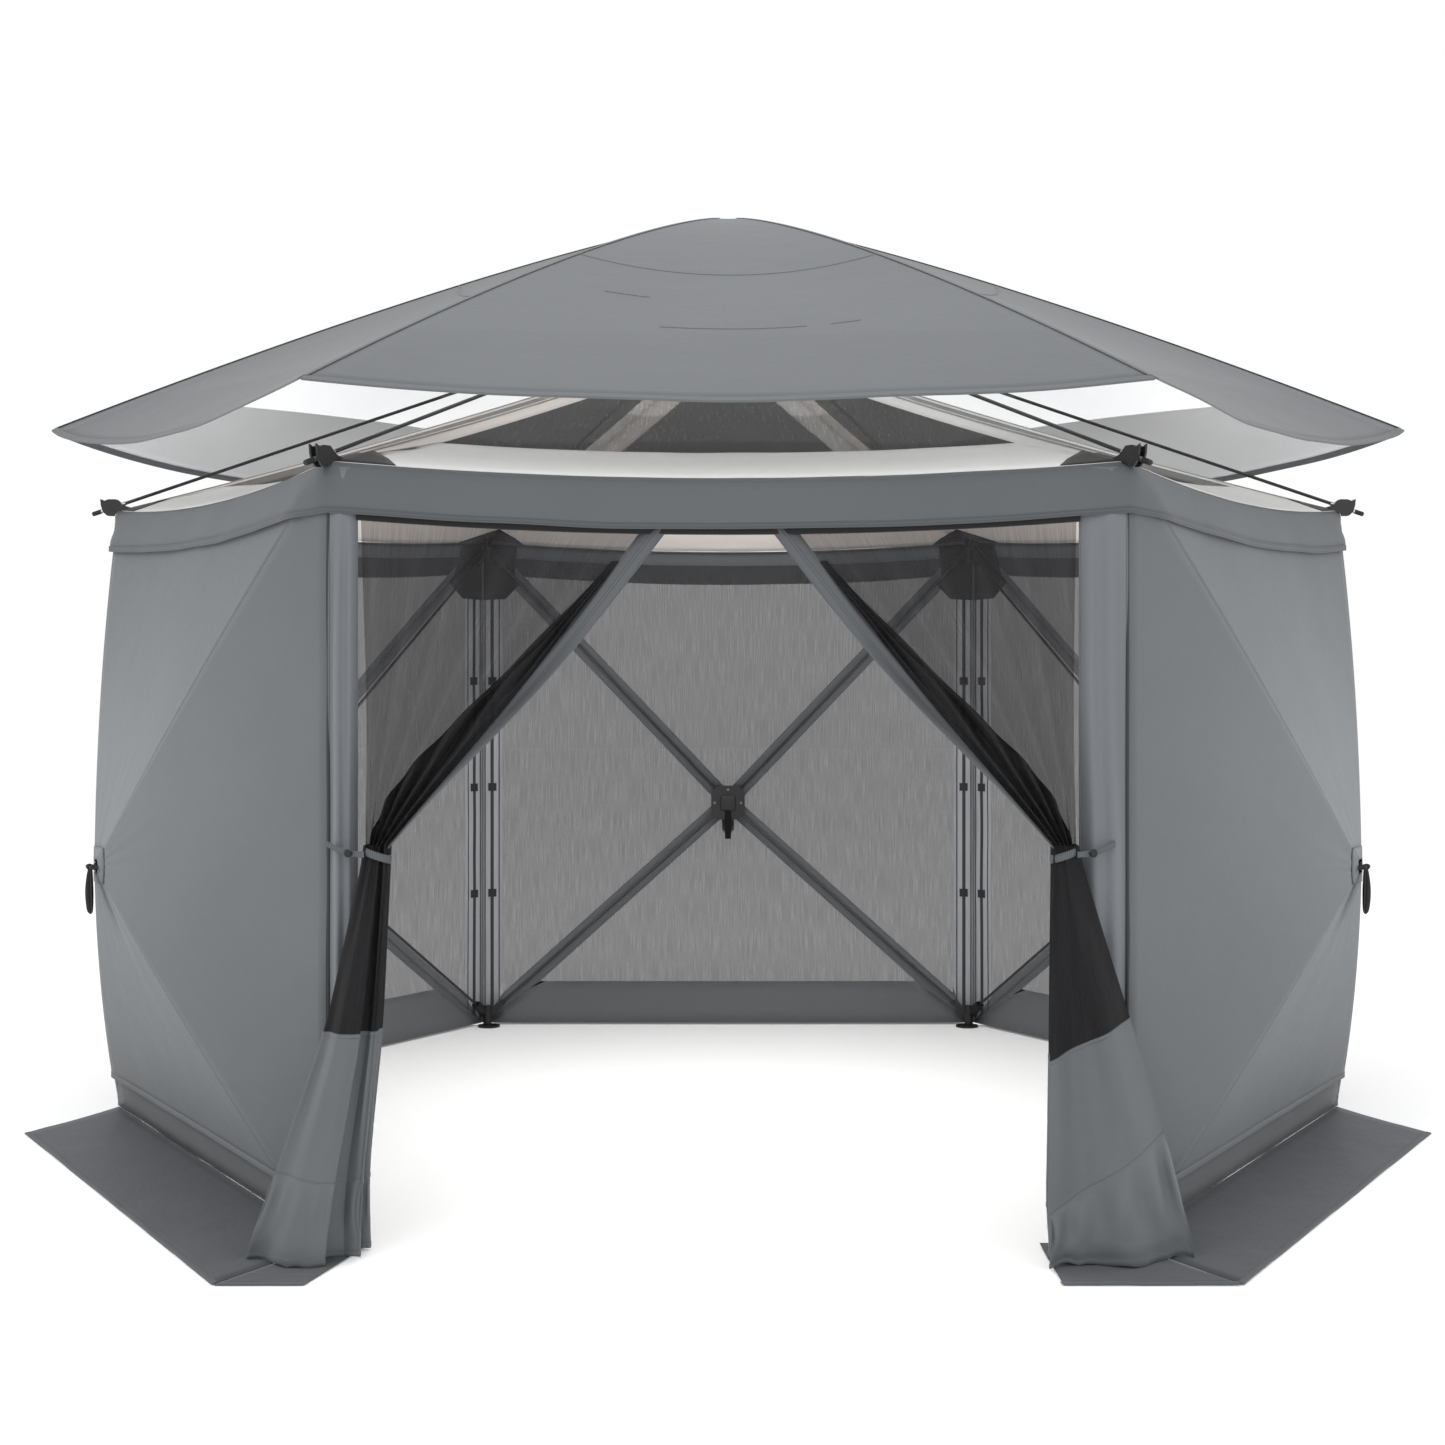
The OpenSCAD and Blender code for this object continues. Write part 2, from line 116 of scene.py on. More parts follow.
class Shader:
    """A material and short names for the nodes that it is built from."""

    def __init__(self, name):
        self.mat = bpy.data.materials.new(name)
        self.mat.use_nodes = True
        self.tree = self.mat.node_tree
        self.bsdf = self.tree.nodes["Principled BSDF"]

    def put(self, socket, value):
        if isinstance(value, bpy.types.NodeSocket):
            self.tree.links.new(value, socket)
        else:
            socket.default_value = value

    def node(self, kind, inputs=None, **settings):
        made = self.tree.nodes.new("ShaderNode" + kind)
        for key, value in settings.items():
            setattr(made, key, value)
        for key, value in (inputs or {}).items():
            self.put(made.inputs[key], value)
        return made

    def pattern(self):
        """The cloth's own coordinates in metres: across, along, 0."""
        return self.node("Attribute", attribute_name="pat").outputs["Vector"]

    def object_place(self):
        return self.node("TexCoord").outputs["Object"]

    def scaled(self, vector, scale):
        return self.node("Mapping", {"Vector": vector, "Scale": scale}).outputs["Vector"]

    def noise(self, vector, scale, detail=2.0, rough=0.5):
        inputs = {"Vector": vector, "Scale": scale, "Detail": detail, "Roughness": rough}
        return self.node("TexNoise", inputs).outputs["Fac"]

    def span(self, value, low, high, out_low, out_high):
        inputs = {"Value": value, "From Min": low, "From Max": high, "To Min": out_low, "To Max": out_high}
        return self.node("MapRange", inputs).outputs["Result"]

    def math(self, operation, a, b=0.0):
        return self.node("Math", {0: a, 1: b}, operation=operation).outputs[0]

    def weighted(self, a, share, b):
        """The value a for its share, and b for the rest."""
        return self.math("ADD", self.math("MULTIPLY", a, share), self.math("MULTIPLY", b, 1 - share))

    def mix(self, factor, a, b):
        return self.node("Mix", {0: factor, 6: a, 7: b}, data_type="RGBA").outputs[2]

    def bump(self, height, distance, strength=1.0, normal=None):
        inputs = {"Height": height, "Distance": distance, "Strength": strength}
        if normal is not None:
            inputs["Normal"] = normal
        return self.node("Bump", inputs).outputs["Normal"]

    def set(self, **inputs):
        for key, value in inputs.items():
            self.put(self.bsdf.inputs[key.replace("_", " ")], value)


def cloth_material(name, rgb, spread=0.06, wrinkle=0.004):
    """Woven coated polyester: thread lines, slubs, soft wrinkles and slow changes of tone."""
    s = Shader(name)
    place = s.pattern()
    warp = s.noise(s.scaled(place, (700.0, 40, 1)), 1.0, 1.0)
    weft = s.noise(s.scaled(place, (40, 700.0, 1)), 1.0, 1.0)
    threads = s.math("ADD", warp, weft)
    cloud = s.noise(place, 2.3, 3.0)
    grain = s.noise(place, 90.0, 3.0, 0.6)
    tone = s.math("ADD", s.weighted(cloud, 0.62, grain), s.span(threads, 0.6, 1.4, -0.10, 0.10))
    base = linear(rgb)
    colour = s.mix(s.span(tone, 0.3, 0.7, 0.0, 1.0), shaded(base, 1 - spread), shaded(base, 1 + spread))
    soft = s.noise(s.scaled(place, (5.0, 9.0, 1)), 1.0, 4.0, 0.55)
    normal = s.bump(threads, 0.00018, 0.7, s.bump(soft, wrinkle))
    s.set(Base_Color=colour, Roughness=s.span(grain, 0.3, 0.7, 0.67, 0.77), Normal=normal)
    s.set(Sheen_Weight=0.12, Sheen_Roughness=0.45, Specular_IOR_Level=0.35)
    return s.mat


def netting_material(name, rgb, low, high):
    """Fine netting, from low to high opacity: threads that run down the cloth, with slow changes of density."""
    s = Shader(name)
    place = s.pattern()
    lines = s.noise(s.scaled(place, (240.0, 9.0, 1)), 1.0, 2.0, 0.5)
    knots = s.noise(s.scaled(place, (700.0, 700.0, 1)), 1.0, 1.0)
    cloud = s.noise(place, 2.0, 2.0)
    cover = s.weighted(lines, 0.70, knots)
    base = linear(rgb)
    colour = s.mix(s.weighted(cover, 0.6, cloud), shaded(base, 0.86), shaded(base, 1.15))
    s.set(Base_Color=colour, Alpha=s.span(cover, 0.38, 0.62, low, high), Roughness=0.8)
    s.set(Normal=s.bump(lines, 0.0004), Specular_IOR_Level=0.25)
    return s.mat


def plastic_material(name, rgb, rough=0.42, grain=260.0):
    """Moulded nylon with a fine spark-eroded grain and slow changes of tone."""
    s = Shader(name)
    place = s.object_place()
    fine = s.noise(place, grain, 3.0, 0.6)
    slow = s.noise(place, 9.0, 3.0)
    base = linear(rgb)
    colour = s.mix(s.span(slow, 0.3, 0.7, 0.0, 1.0), shaded(base, 0.75), shaded(base, 1.5))
    s.set(Base_Color=colour, Roughness=s.span(fine, 0.3, 0.7, rough - 0.08, rough + 0.1))
    s.set(Normal=s.bump(fine, 0.00025))
    return s.mat


def pole_material(name, rgb):
    """Pultruded fibreglass rod: faint streaks under a clear skin."""
    s = Shader(name)
    place = s.object_place()
    streak = s.noise(s.scaled(place, (30, 30, 30)), 1.0, 5.0, 0.7)
    fine = s.noise(place, 500.0, 2.0)
    base = linear(rgb)
    colour = s.mix(s.span(streak, 0.35, 0.65, 0, 1), base, shaded(base, 1.9))
    s.set(Base_Color=colour, Roughness=s.span(fine, 0.3, 0.7, 0.28, 0.42), Normal=s.bump(fine, 0.0001))
    s.set(Coat_Weight=0.25)
    return s.mat


def metal_material(name, rgb):
    """Turned steel."""
    s = Shader(name)
    place = s.object_place()
    grain = s.noise(s.scaled(place, (900, 900, 900)), 1.0, 2.0)
    slow = s.noise(place, 60.0, 2.0)
    base = linear(rgb)
    s.set(Base_Color=s.mix(slow, shaded(base, 0.8), base), Metallic=1.0)
    s.set(Roughness=s.span(grain, 0.3, 0.7, 0.22, 0.38), Normal=s.bump(grain, 0.00005))
    return s.mat


def webbing_material(name, rgb):
    """Flat nylon webbing with ribs across the strap."""
    s = Shader(name)
    place = s.pattern()
    rib_pitch = 0.0022
    inputs = {"Vector": place, "Scale": 0.5 / rib_pitch / math.pi, "Distortion": 1.2, "Detail": 1.0}
    ribs = s.node("TexWave", inputs, bands_direction="Y").outputs["Fac"]
    fuzz = s.noise(place, 700.0, 2.0)
    base = linear(rgb)
    colour = s.mix(s.weighted(ribs, 0.6, fuzz), shaded(base, 0.6), shaded(base, 1.4))
    s.set(Base_Color=colour, Roughness=0.85, Normal=s.bump(ribs, 0.0004, 0.8), Specular_IOR_Level=0.15)
    return s.mat


def stitched_material(name, rgb, stitch_rgb):
    """A seam or hem: cloth with two rows of stitches; across is 0 in its middle."""
    s = Shader(name)
    place = s.pattern()
    across, along, _ = s.node("SeparateXYZ", {"Vector": place}).outputs
    row = s.math("ABSOLUTE", s.math("SUBTRACT", s.math("ABSOLUTE", across), 0.0035))
    in_row = s.math("LESS_THAN", row, 0.0007)
    dash = s.math("GREATER_THAN", s.math("FRACT", s.math("DIVIDE", along, 0.0042)), 0.28)
    thread = s.math("MULTIPLY", in_row, dash)
    grain = s.noise(place, 300.0, 3.0)
    pucker = s.noise(s.scaled(place, (20, 90, 1)), 1.0, 2.0)
    base = linear(rgb)
    cloth = s.mix(grain, shaded(base, 0.85), shaded(base, 1.12))
    height = s.math("SUBTRACT", pucker, s.math("MULTIPLY", in_row, 0.6))
    s.set(Base_Color=s.mix(thread, cloth, linear(stitch_rgb)), Roughness=0.75)
    s.set(Normal=s.bump(height, 0.0012, 0.8), Sheen_Weight=0.1)
    return s.mat


def floor_material():
    """A plain pale floor with a slight glow, so that it meets the backdrop without an edge."""
    s = Shader("floor")
    slow = s.noise(s.object_place(), 0.6, 2.0)
    s.set(Base_Color=s.mix(slow, (0.86, 0.86, 0.86, 1), (0.9, 0.9, 0.9, 1)), Roughness=0.9)
    s.set(Specular_IOR_Level=0.1, Emission_Color=(1, 1, 1, 1), Emission_Strength=0.14)
    return s.mat


GREY_RGB = (92, 96, 99)
COVER_CLOTH = cloth_material("cover_cloth", (96, 99, 102), spread=0.05, wrinkle=0.003)
COVER_IN = cloth_material("cover_inside", (236, 237, 238), spread=0.03, wrinkle=0.003)
WALL_CLOTH = cloth_material("wall_cloth", GREY_RGB)
VALANCE_CLOTH = cloth_material("valance_cloth", (86, 90, 93), wrinkle=0.003)
SKIRT_CLOTH = cloth_material("skirt_cloth", (70, 73, 78), wrinkle=0.005)
BAND_CLOTH = cloth_material("band_cloth", (92, 94, 97), wrinkle=0.002)
JAMB_CLOTH = cloth_material("jamb_cloth", (106, 110, 114))
STRIP_CLOTH = cloth_material("strip_cloth", (156, 158, 162), spread=0.04, wrinkle=0.002)
ROOF_OUT = cloth_material("roof_outside", (222, 221, 219), spread=0.03, wrinkle=0.0015)
ROOF_IN = cloth_material("roof_inside", (224, 216, 209), spread=0.03, wrinkle=0.0015)
NETTING = netting_material("netting", (70, 70, 72), 0.80, 0.87)
ROOF_NETTING = netting_material("roof_netting", (58, 57, 56), 0.80, 0.88)
DOOR_NETTING = netting_material("door_netting", (44, 44, 46), 0.52, 0.66)
# the door's netting where gathered or doubled: more opaque for its layers, and darker as painted shade between the
# folds
LAYERED_NETTING_WITH_SHADE = netting_material("gathered_netting_painted_shade", (25, 25, 27), 0.92, 0.99)
BLACK_CLOTH = cloth_material("black_patch", (38, 37, 38), wrinkle=0.002)
BLACK = plastic_material("black_nylon", (21, 21, 22))
RUBBER = plastic_material("black_rubber", (17, 17, 17), rough=0.62, grain=420.0)
POLE = pole_material("fibreglass", (20, 20, 21))
STEEL = metal_material("ferrule_steel", (205, 206, 208))
STEEL_DARK = metal_material("screw_steel", (120, 121, 124))
WEBBING = webbing_material("webbing", (23, 23, 24))
GREY_WEBBING = webbing_material("grey_webbing", (88, 92, 95))
SEAM_GREY = stitched_material("grey_seam", GREY_RGB, (82, 86, 90))
SEAM_COVER = stitched_material("cover_seam", (94, 97, 100), (78, 81, 84))
# the valance's hem: stitched cloth, painted darker than the valance as the shadow under its lower edge
VALANCE_HEM_AND_SHADOW = stitched_material("valance_hem_painted_shadow", (76, 79, 82), (62, 65, 68))
SEAM_SKIRT = stitched_material("skirt_seam", (75, 78, 83), (60, 63, 67))
SEAM_BAND = stitched_material("zip_band", (84, 87, 90), (50, 52, 54))
# dark tapes on the walls' side strips, and the piping beside the door, where the dark is painted shade of the gap
DARK_TAPE_AND_GAP_SHADE = stitched_material("dark_tape_and_gap_shade", (44, 45, 47), (30, 30, 32))
# near-black strip under the front valance: a zip track painted as the valance's shadow
TRACK_AND_SHADOW = stitched_material("zip_track_painted_shadow", (26, 26, 27), (16, 16, 17))
SEAM_PALE = stitched_material("pale_seam", (208, 206, 202), (170, 166, 160))


# ---------------------------------------------------------------- pieces in mesh code
class Piece:
    """A mesh made patch by patch, with the cloth's own coordinates on every vertex."""

    def __init__(self, name):
        self.name = name
        self.bm = bmesh.new()
        self.pat = self.bm.verts.layers.float_vector.new("pat")

    def patch(self, rows, mat=0, wrap=False):
        """Faces over rows, a grid of (place, pattern place) pairs; wrap joins the two ends of each row."""
        verts = []
        for row in rows:
            line = []
            for place, pattern in row:
                v = self.bm.verts.new(place)
                v[self.pat] = Vector(pattern)
                line.append(v)
            verts.append(line)
        for low, high in zip(verts, verts[1:]):
            count = len(low)
            for j in range(count if wrap else count - 1):
                after = (j + 1) % count
                self.bm.faces.new([low[j], low[after], high[after], high[j]]).material_index = mat
        return verts

    def object(self, mats, weld=2e-5, thick=0.0, inner=0, facing=None, sharp=None):
        """The finished object: facing turns its faces that way, inner shifts the material of their backs."""
        bmesh.ops.remove_doubles(self.bm, verts=self.bm.verts, dist=weld)
        bmesh.ops.dissolve_degenerate(self.bm, edges=self.bm.edges, dist=1e-6)
        if facing is not None:
            self.bm.normal_update()
            total = sum((f.normal * f.calc_area() for f in self.bm.faces), Vector())
            if total.dot(facing) < 0:
                bmesh.ops.reverse_faces(self.bm, faces=self.bm.faces)
        mesh = bpy.data.meshes.new(self.name)
        self.bm.to_mesh(mesh)
        self.bm.free()
        for m in mats:
            mesh.materials.append(m)
        obj = bpy.data.objects.new(self.name, mesh)
        bpy.context.scene.collection.objects.link(obj)
        if thick:
            solid = obj.modifiers.new("thickness", "SOLIDIFY")
            solid.thickness = thick
            solid.offset = 0.0
            solid.material_offset = inner
            apply_modifiers(obj)
        mesh = obj.data
        mesh.polygons.foreach_set("use_smooth", [True] * len(mesh.polygons))
        if sharp is not None:
            mesh.set_sharp_from_angle(angle=math.radians(sharp))
        mesh.update()
        return obj


def apply_modifiers(obj):
    bpy.context.view_layer.update()
    graph = bpy.context.evaluated_depsgraph_get()
    made = bpy.data.meshes.new_from_object(obj.evaluated_get(graph))
    obj.modifiers.clear()
    obj.data = made


def mesh_area(obj):
    return sum(p.area for p in obj.data.polygons)


def carry(piece, body):
    """Fixes a piece to a body."""
    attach(piece, body)
    return piece


def bend(piece, hub, start, peak, slot):
    """Bakes a piece's transform into its mesh."""
    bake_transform(piece)
    return piece


def lerp(a, b, f):
    return a + (b - a) * f


def smooth_step(x, low=0.0, high=1.0):
    x = min(1.0, max(0.0, (x - low) / (high - low)))
    return x * x * (3 - 2 * x)


def wave_noise(x, y, z=0.0):
    return noise.noise(Vector((x, y, z)))


def around(radius, degrees, z=0.0):
    """A place at a radius and an angle round the tent's middle."""
    a = math.radians(degrees)
    return Vector((radius * math.cos(a), radius * math.sin(a), z))


def circle(sides):
    """Angles once round, without the last, which would be the first again."""
    return [2 * math.pi * i / sides for i in range(sides)]


def resample(line, count):
    """count + 1 places evenly along a polyline."""
    points = np.array(line, float)
    steps = np.concatenate([[0], np.cumsum(np.linalg.norm(np.diff(points, axis=0), axis=1))])
    if steps[-1] == 0:
        return [tuple(points[0])] * (count + 1)
    wanted = np.linspace(0, steps[-1], count + 1)
    return list(zip(*[np.interp(wanted, steps, points[:, i]) for i in range(points.shape[1])]))


def run_lengths(path):
    """How far along a path each of its places is."""
    runs = [0.0]
    for here, there in zip(path, path[1:]):
        runs.append(runs[-1] + (there - here).length)
    return runs


def directions(path):
    """The way that a path runs at each of its places."""
    last = len(path) - 1
    return [(path[min(i + 1, last)] - path[max(i - 1, 0)]).normalized() for i in range(last + 1)]


def sides_of(path, ups):
    """The way across a strip at each place of its path."""
    return [way.cross(up).normalized() for way, up in zip(directions(path), ups)]


def wrapped(name, rows, mat, sharp, weld=2e-5, closed=False):
    """A solid skinned over rings of places, its two ends capped unless they already meet."""
    piece = Piece(name)
    verts = piece.patch(rows, wrap=True)
    if not closed:
        piece.bm.faces.new(verts[0][::-1])
        piece.bm.faces.new(verts[-1])
    bmesh.ops.recalc_face_normals(piece.bm, faces=piece.bm.faces)
    return piece.object([mat], weld=weld, sharp=sharp)


def strip(name, path, side, up, width, height, mat, lift=0.0, closed=False):
    """A sewn strip along a path, width across side and standing height over the cloth along up.

    side and up are one vector for the whole path, or a list with one for each place.
    """
    sides, ups = ([way] * len(path) if isinstance(way, Vector) else way for way in (side, up))
    ring = [(-1.0, 0.0), (-0.76, 1.0), (0.76, 1.0), (1.0, 0.0)]
    rows = []
    for place, across, n, run in zip(path, sides, ups, run_lengths(path)):
        w = across * (width / 2)
        rows.append([(place + w * a + n * (b * height + lift), (a * width / 2, run, 0)) for a, b in ring])
    return wrapped(name, rows, mat, 40, closed=closed)


def tube(name, path, radius, mat, sides):
    """A round tube along a path; radius is one number, or a list with one for each place."""
    radii = radius if isinstance(radius, list) else [radius] * len(path)
    rows = []
    up = None
    for place, ahead, r, run in zip(path, directions(path), radii, run_lengths(path)):
        if up is None:
            up = UP if abs(ahead.z) < 0.9 else Vector((0, 1, 0))
        u = ahead.cross(up).normalized()
        up = u.cross(ahead).normalized()
        rows.append([(place + u * r * math.cos(a) + up * r * math.sin(a), (a * r, run, 0))
                     for a in circle(sides)])
    return wrapped(name, rows, mat, 50)


def turned(name, origin, axis, profile, mat):
    """A turned solid: profile is (radius, distance along the axis) pairs from one end to the other."""
    u = axis.orthogonal().normalized()
    w = axis.cross(u)
    rows = []
    for r, h in profile:
        rows.append([(origin + axis * h + (u * math.cos(a) + w * math.sin(a)) * max(r, 1e-5), (a * r, h, 0))
                     for a in circle(32)])
    return wrapped(name, rows, mat, 35, weld=1e-7)


class Facet:
    """A sewn triangle of cloth from the rim a-b to the peak p, with the shape that tension gives it.

    Plane places are (x along the rim from a, y from the rim towards the peak). out is the way that it bows.
    """

    def __init__(self, a, b, p, out, bow, dish, across, sag=0.0, ripple=0.0, seed=0.0):
        self.a, self.b, self.p, self.out = a, b, p, out
        self.bow, self.dish, self.sag, self.ripple, self.seed = bow, dish, sag, ripple, seed
        self.across = across
        self.rim = (b - a).length
        along = (b - a).normalized()
        self.foot = (p - a).dot(along)
        self.rise = (p - a - along * self.foot).length

    def on_ridge(self, end, t):
        """The plane place at share t of the way from a (end 0) or b (end 1) to the peak."""
        x = t * self.foot if end == 0 else self.rim + t * (self.foot - self.rim)
        return (x, t * self.rise)

    def from_ridge(self, end, y, d):
        """The plane place at height y, d inside the ridge."""
        foot = self.foot if end == 0 else self.rim - self.foot
        x = y * foot / self.rise + d * math.hypot(foot, self.rise) / self.rise
        return (x if end == 0 else self.rim - x, y)

    def inner_peak(self, d):
        """Where the lines d inside both ridges meet."""
        slopes = sum(math.hypot(foot, self.rise) / self.rise for foot in (self.foot, self.rim - self.foot))
        return self.from_ridge(0, (self.rim - d * slopes) * self.rise / self.rim, d)

    def at(self, x, y, off=0.0):
        """The place in space of a plane place, off over the cloth, and its pattern place."""
        x, y = float(x), float(y)
        t = min(0.9999, max(0.0, y / self.rise))
        s = (x - t * self.foot) / ((1 - t) * self.rim)
        s = min(1.0, max(0.0, s))
        flat = (1 - t) * ((1 - s) * self.a + s * self.b) + t * self.p
        mid = math.sin(math.pi * s)
        place = flat + self.out * (self.bow * 4 * t * (1 - t) * (1 - self.dish * mid) + off)
        place.z -= self.sag * 4 * s * (1 - s) * (1 - t) ** 3
        q = self.seed
        low = wave_noise(x * 2.1 + q, y * 2.1 - q, q)
        fan = wave_noise(s * 9 + q, t * 1.2, 3.1 + q) * (0.25 + 0.75 * abs(2 * t - 1))
        place += self.out * self.ripple * (0.6 * low + 0.7 * fan) * mid
        return place, self.across(flat)

    def ruled(self, piece, left, right, nu, nv, off=0.0, mat=0):
        """A patch between two polylines of plane places, nu quads across and nv along them."""
        rows = []
        for a, b in zip(resample(left, nv), resample(right, nv)):
            shares = [i / nu for i in range(nu + 1)]
            rows.append([self.at(a[0] + f * (b[0] - a[0]), a[1] + f * (b[1] - a[1]), off) for f in shares])
        piece.patch(rows, mat)

    def stated_area(self, obj, layers=1):
        """The area worked out for a sheet on this facet."""
        return max(mesh_area(obj) / layers, LEAST_SHARE * self.rim * self.rise)


# ---------------------------------------------------------------- walls
PEAK_CUT = 0.965
RIDGE_BAND = 0.030
RIM_BANDS = {"top": 0.050, "bottom": 0.150, "left": 0.075, "right": 0.075}
WALL_BOW = 0.014
WIND_OUT = 0.005


def wall_matrix(k):
    return Matrix.Rotation(math.radians(60 * k + 30), 4, "Z") @ Matrix.Translation((APOTHEM, 0, 0))


def wall_out(k):
    return around(1.0, 60 * k + 30)


def wall_side(k):
    """The way along wall k, to the left as seen from inside."""
    return wall_matrix(k).to_3x3() @ Vector((0, 1, 0))


def wall_points(k):
    m = wall_matrix(k)
    top = {y: m @ Vector((0, y * HALF, WALL_TOP)) for y in (-1, 1)}
    foot = {y: m @ Vector((0, y * HALF, FOOT_Z)) for y in (-1, 1)}
    return top, foot, m @ Vector((BULGE, 0, HUB_Z))


def wall_facets(k):
    """The wall's four facets, each with the place on its rim across from the hub, and the peak."""
    top, foot, peak = wall_points(k)
    m = wall_matrix(k)
    back = m.inverted()

    def across(q):
        local = back @ q
        return (local.y, local.z, 0)

    def facet(a, b, start, i, dish, sag=0.0):
        made = Facet(a, b, peak, wall_out(k), WALL_BOW, dish, across, sag=sag, ripple=0.0035, seed=k * 3.7 + i)
        return made, m @ Vector(start)

    return {
        "top": facet(top[-1], top[1], (0, 0, WALL_TOP), 0, 0.3, EAVE_SAG),
        "left": facet(top[1], foot[1], (0, HALF, HUB_Z), 1, 0.5),
        "bottom": facet(foot[1], foot[-1], (0, 0, FOOT_Z), 2, 0.3),
        "right": facet(foot[-1], top[-1], (0, -HALF, HUB_Z), 3, 0.5),
    }, peak


def wall_netting(wall, k):
    """Netting on the four facets, in solid bands, with tapes, hook-and-loop squares and corner patches."""
    facets, peak = wall_facets(k)
    for name, (f, start) in facets.items():
        hold = ("hub_" + wall, start, peak)
        rim = RIM_BANDS[name]
        a_in, b_in = f.from_ridge(0, rim, RIDGE_BAND), f.from_ridge(1, rim, RIDGE_BAND)
        p_in = f.inner_peak(RIDGE_BAND)
        net = Piece(f"netting_{wall}_{name}")
        f.ruled(net, [a_in, p_in], [b_in, p_in], 30, 26)
        net = bend(net.object([NETTING], facing=f.out), *hold, "netting")
        bands = Piece(f"bands_{wall}_{name}")
        f.ruled(bands, [(0, 0), (f.rim, 0)], [a_in, b_in], 3, 30, mat=1 if name in ("left", "right") else 0)
        f.ruled(bands, [(0, 0), f.on_ridge(0, PEAK_CUT)], [a_in, p_in], 2, 26)
        f.ruled(bands, [(f.rim, 0), f.on_ridge(1, PEAK_CUT)], [b_in, p_in], 2, 26)
        bands = bands.object([BAND_CLOTH, STRIP_CLOTH], thick=0.0012, facing=f.out)
        extras = [bend(bands, *hold, "wall_cloth")]
        if name in ("left", "right"):
            extras += side_tapes(wall, name, f, hold)
        if name != "bottom":
            extras.append(corner_patches(wall, name, f, hold))
        f.stated_area(net)
        if name == "top":
            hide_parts("wall_mesh_" + wall)


def side_tapes(wall, name, f, hold):
    """The zip and two tapes down a wall's side strip, and the hook-and-loop squares on it."""
    made = []
    for i, (at, width) in enumerate([(0.010, 0.004), (0.036, 0.012), (0.062, 0.004)]):
        piece = Piece(f"tape_{wall}_{name}_{i + 1}")
        low, high = at - width / 2, at + width / 2
        for side in (-1, 1):
            line_low = [f.from_ridge(0, low, 0.0), f.from_ridge(1, low, 0.0)]
            line_high = [f.from_ridge(0, high, 0.0), f.from_ridge(1, high, 0.0)]
            f.ruled(piece, line_low, line_high, 1, 40, off=side * 0.0016)
        made.append(bend(piece.object([DARK_TAPE_AND_GAP_SHADE]), *hold, "wall_cloth"))
    piece = Piece(f"hook_squares_{wall}_{name}")
    half, near, far = 0.014, 0.022, 0.052
    for z in (1.244, 0.860, 0.476):
        x = WALL_TOP - z if name == "left" else z - FOOT_Z
        for off in (-0.0030, -0.0018):
            low, high = ([(x - half, y), (x + half, y)] for y in (near, far))
            f.ruled(piece, low, high, 2, 2, off=off)
    made.append(bend(piece.object([BLACK_CLOTH]), *hold, "wall_cloth"))
    return made


def corner_patches(wall, name, f, hold):
    """Black cloth over the inside of a wall's top corners, half on each facet that meets there."""
    ends = {"top": (0, 1), "left": (0,), "right": (1,)}[name]
    reach, kite_x, kite_y = (0.125, 0.112, 0.155) if name == "top" else (0.205, 0.20, 0.085)
    piece = Piece(f"corner_patch_{wall}_{name}")
    for end in ends:
        sign, origin = (1, 0.0) if end == 0 else (-1, f.rim)
        inner = [f.on_ridge(end, 0.150), (origin + sign * kite_x, kite_y)]
        f.ruled(piece, [(origin, 0.0), (origin + sign * reach, 0.0)], inner, 5, 5, off=-0.0022)
    return bend(piece.object([BLACK_CLOTH], thick=0.0012), *hold, "wall_cloth")


def ridge_seams(wall, k):
    """Flat-felled seams on the four ridges."""
    top, foot, peak = wall_points(k)
    out = wall_out(k)
    for level, corners, z in (("top", top, WALL_TOP), ("bottom", foot, FOOT_Z)):
        start = wall_matrix(k) @ Vector((0, 0, z))
        for hand, y in (("right", -1), ("left", 1)):
            path = []
            for i in range(37):
                t = lerp(0.01, 0.955, i / 36)
                path.append(lerp(corners[y], peak, t) + out * (WALL_BOW * 4 * t * (1 - t) + 0.0007))
            side = (path[-1] - path[0]).normalized().cross(out).normalized()
            seam = strip(f"ridge_seam_{wall}_{level}_{hand}", path, side, out, 0.014, 0.0014, SEAM_GREY)
            bend(seam, "hub_" + wall, start, peak, "wall_cloth")


def peak_patch(wall, k, off):
    """Reinforcing cloth round the hole that the pull strap's post comes out of."""
    facets, peak = wall_facets(k)
    for name, (f, start) in facets.items():
        piece = Piece(f"peak_patch_{wall}_{name}")
        left, right = ([f.on_ridge(end, 0.948), f.on_ridge(end, 0.980)] for end in (0, 1))
        f.ruled(piece, left, right, 6, 3, off=off)
        piece = piece.object([WALL_CLOTH], thick=0.0014, facing=f.out)
        bend(piece, "hub_" + wall, start, peak, "wall_cloth")


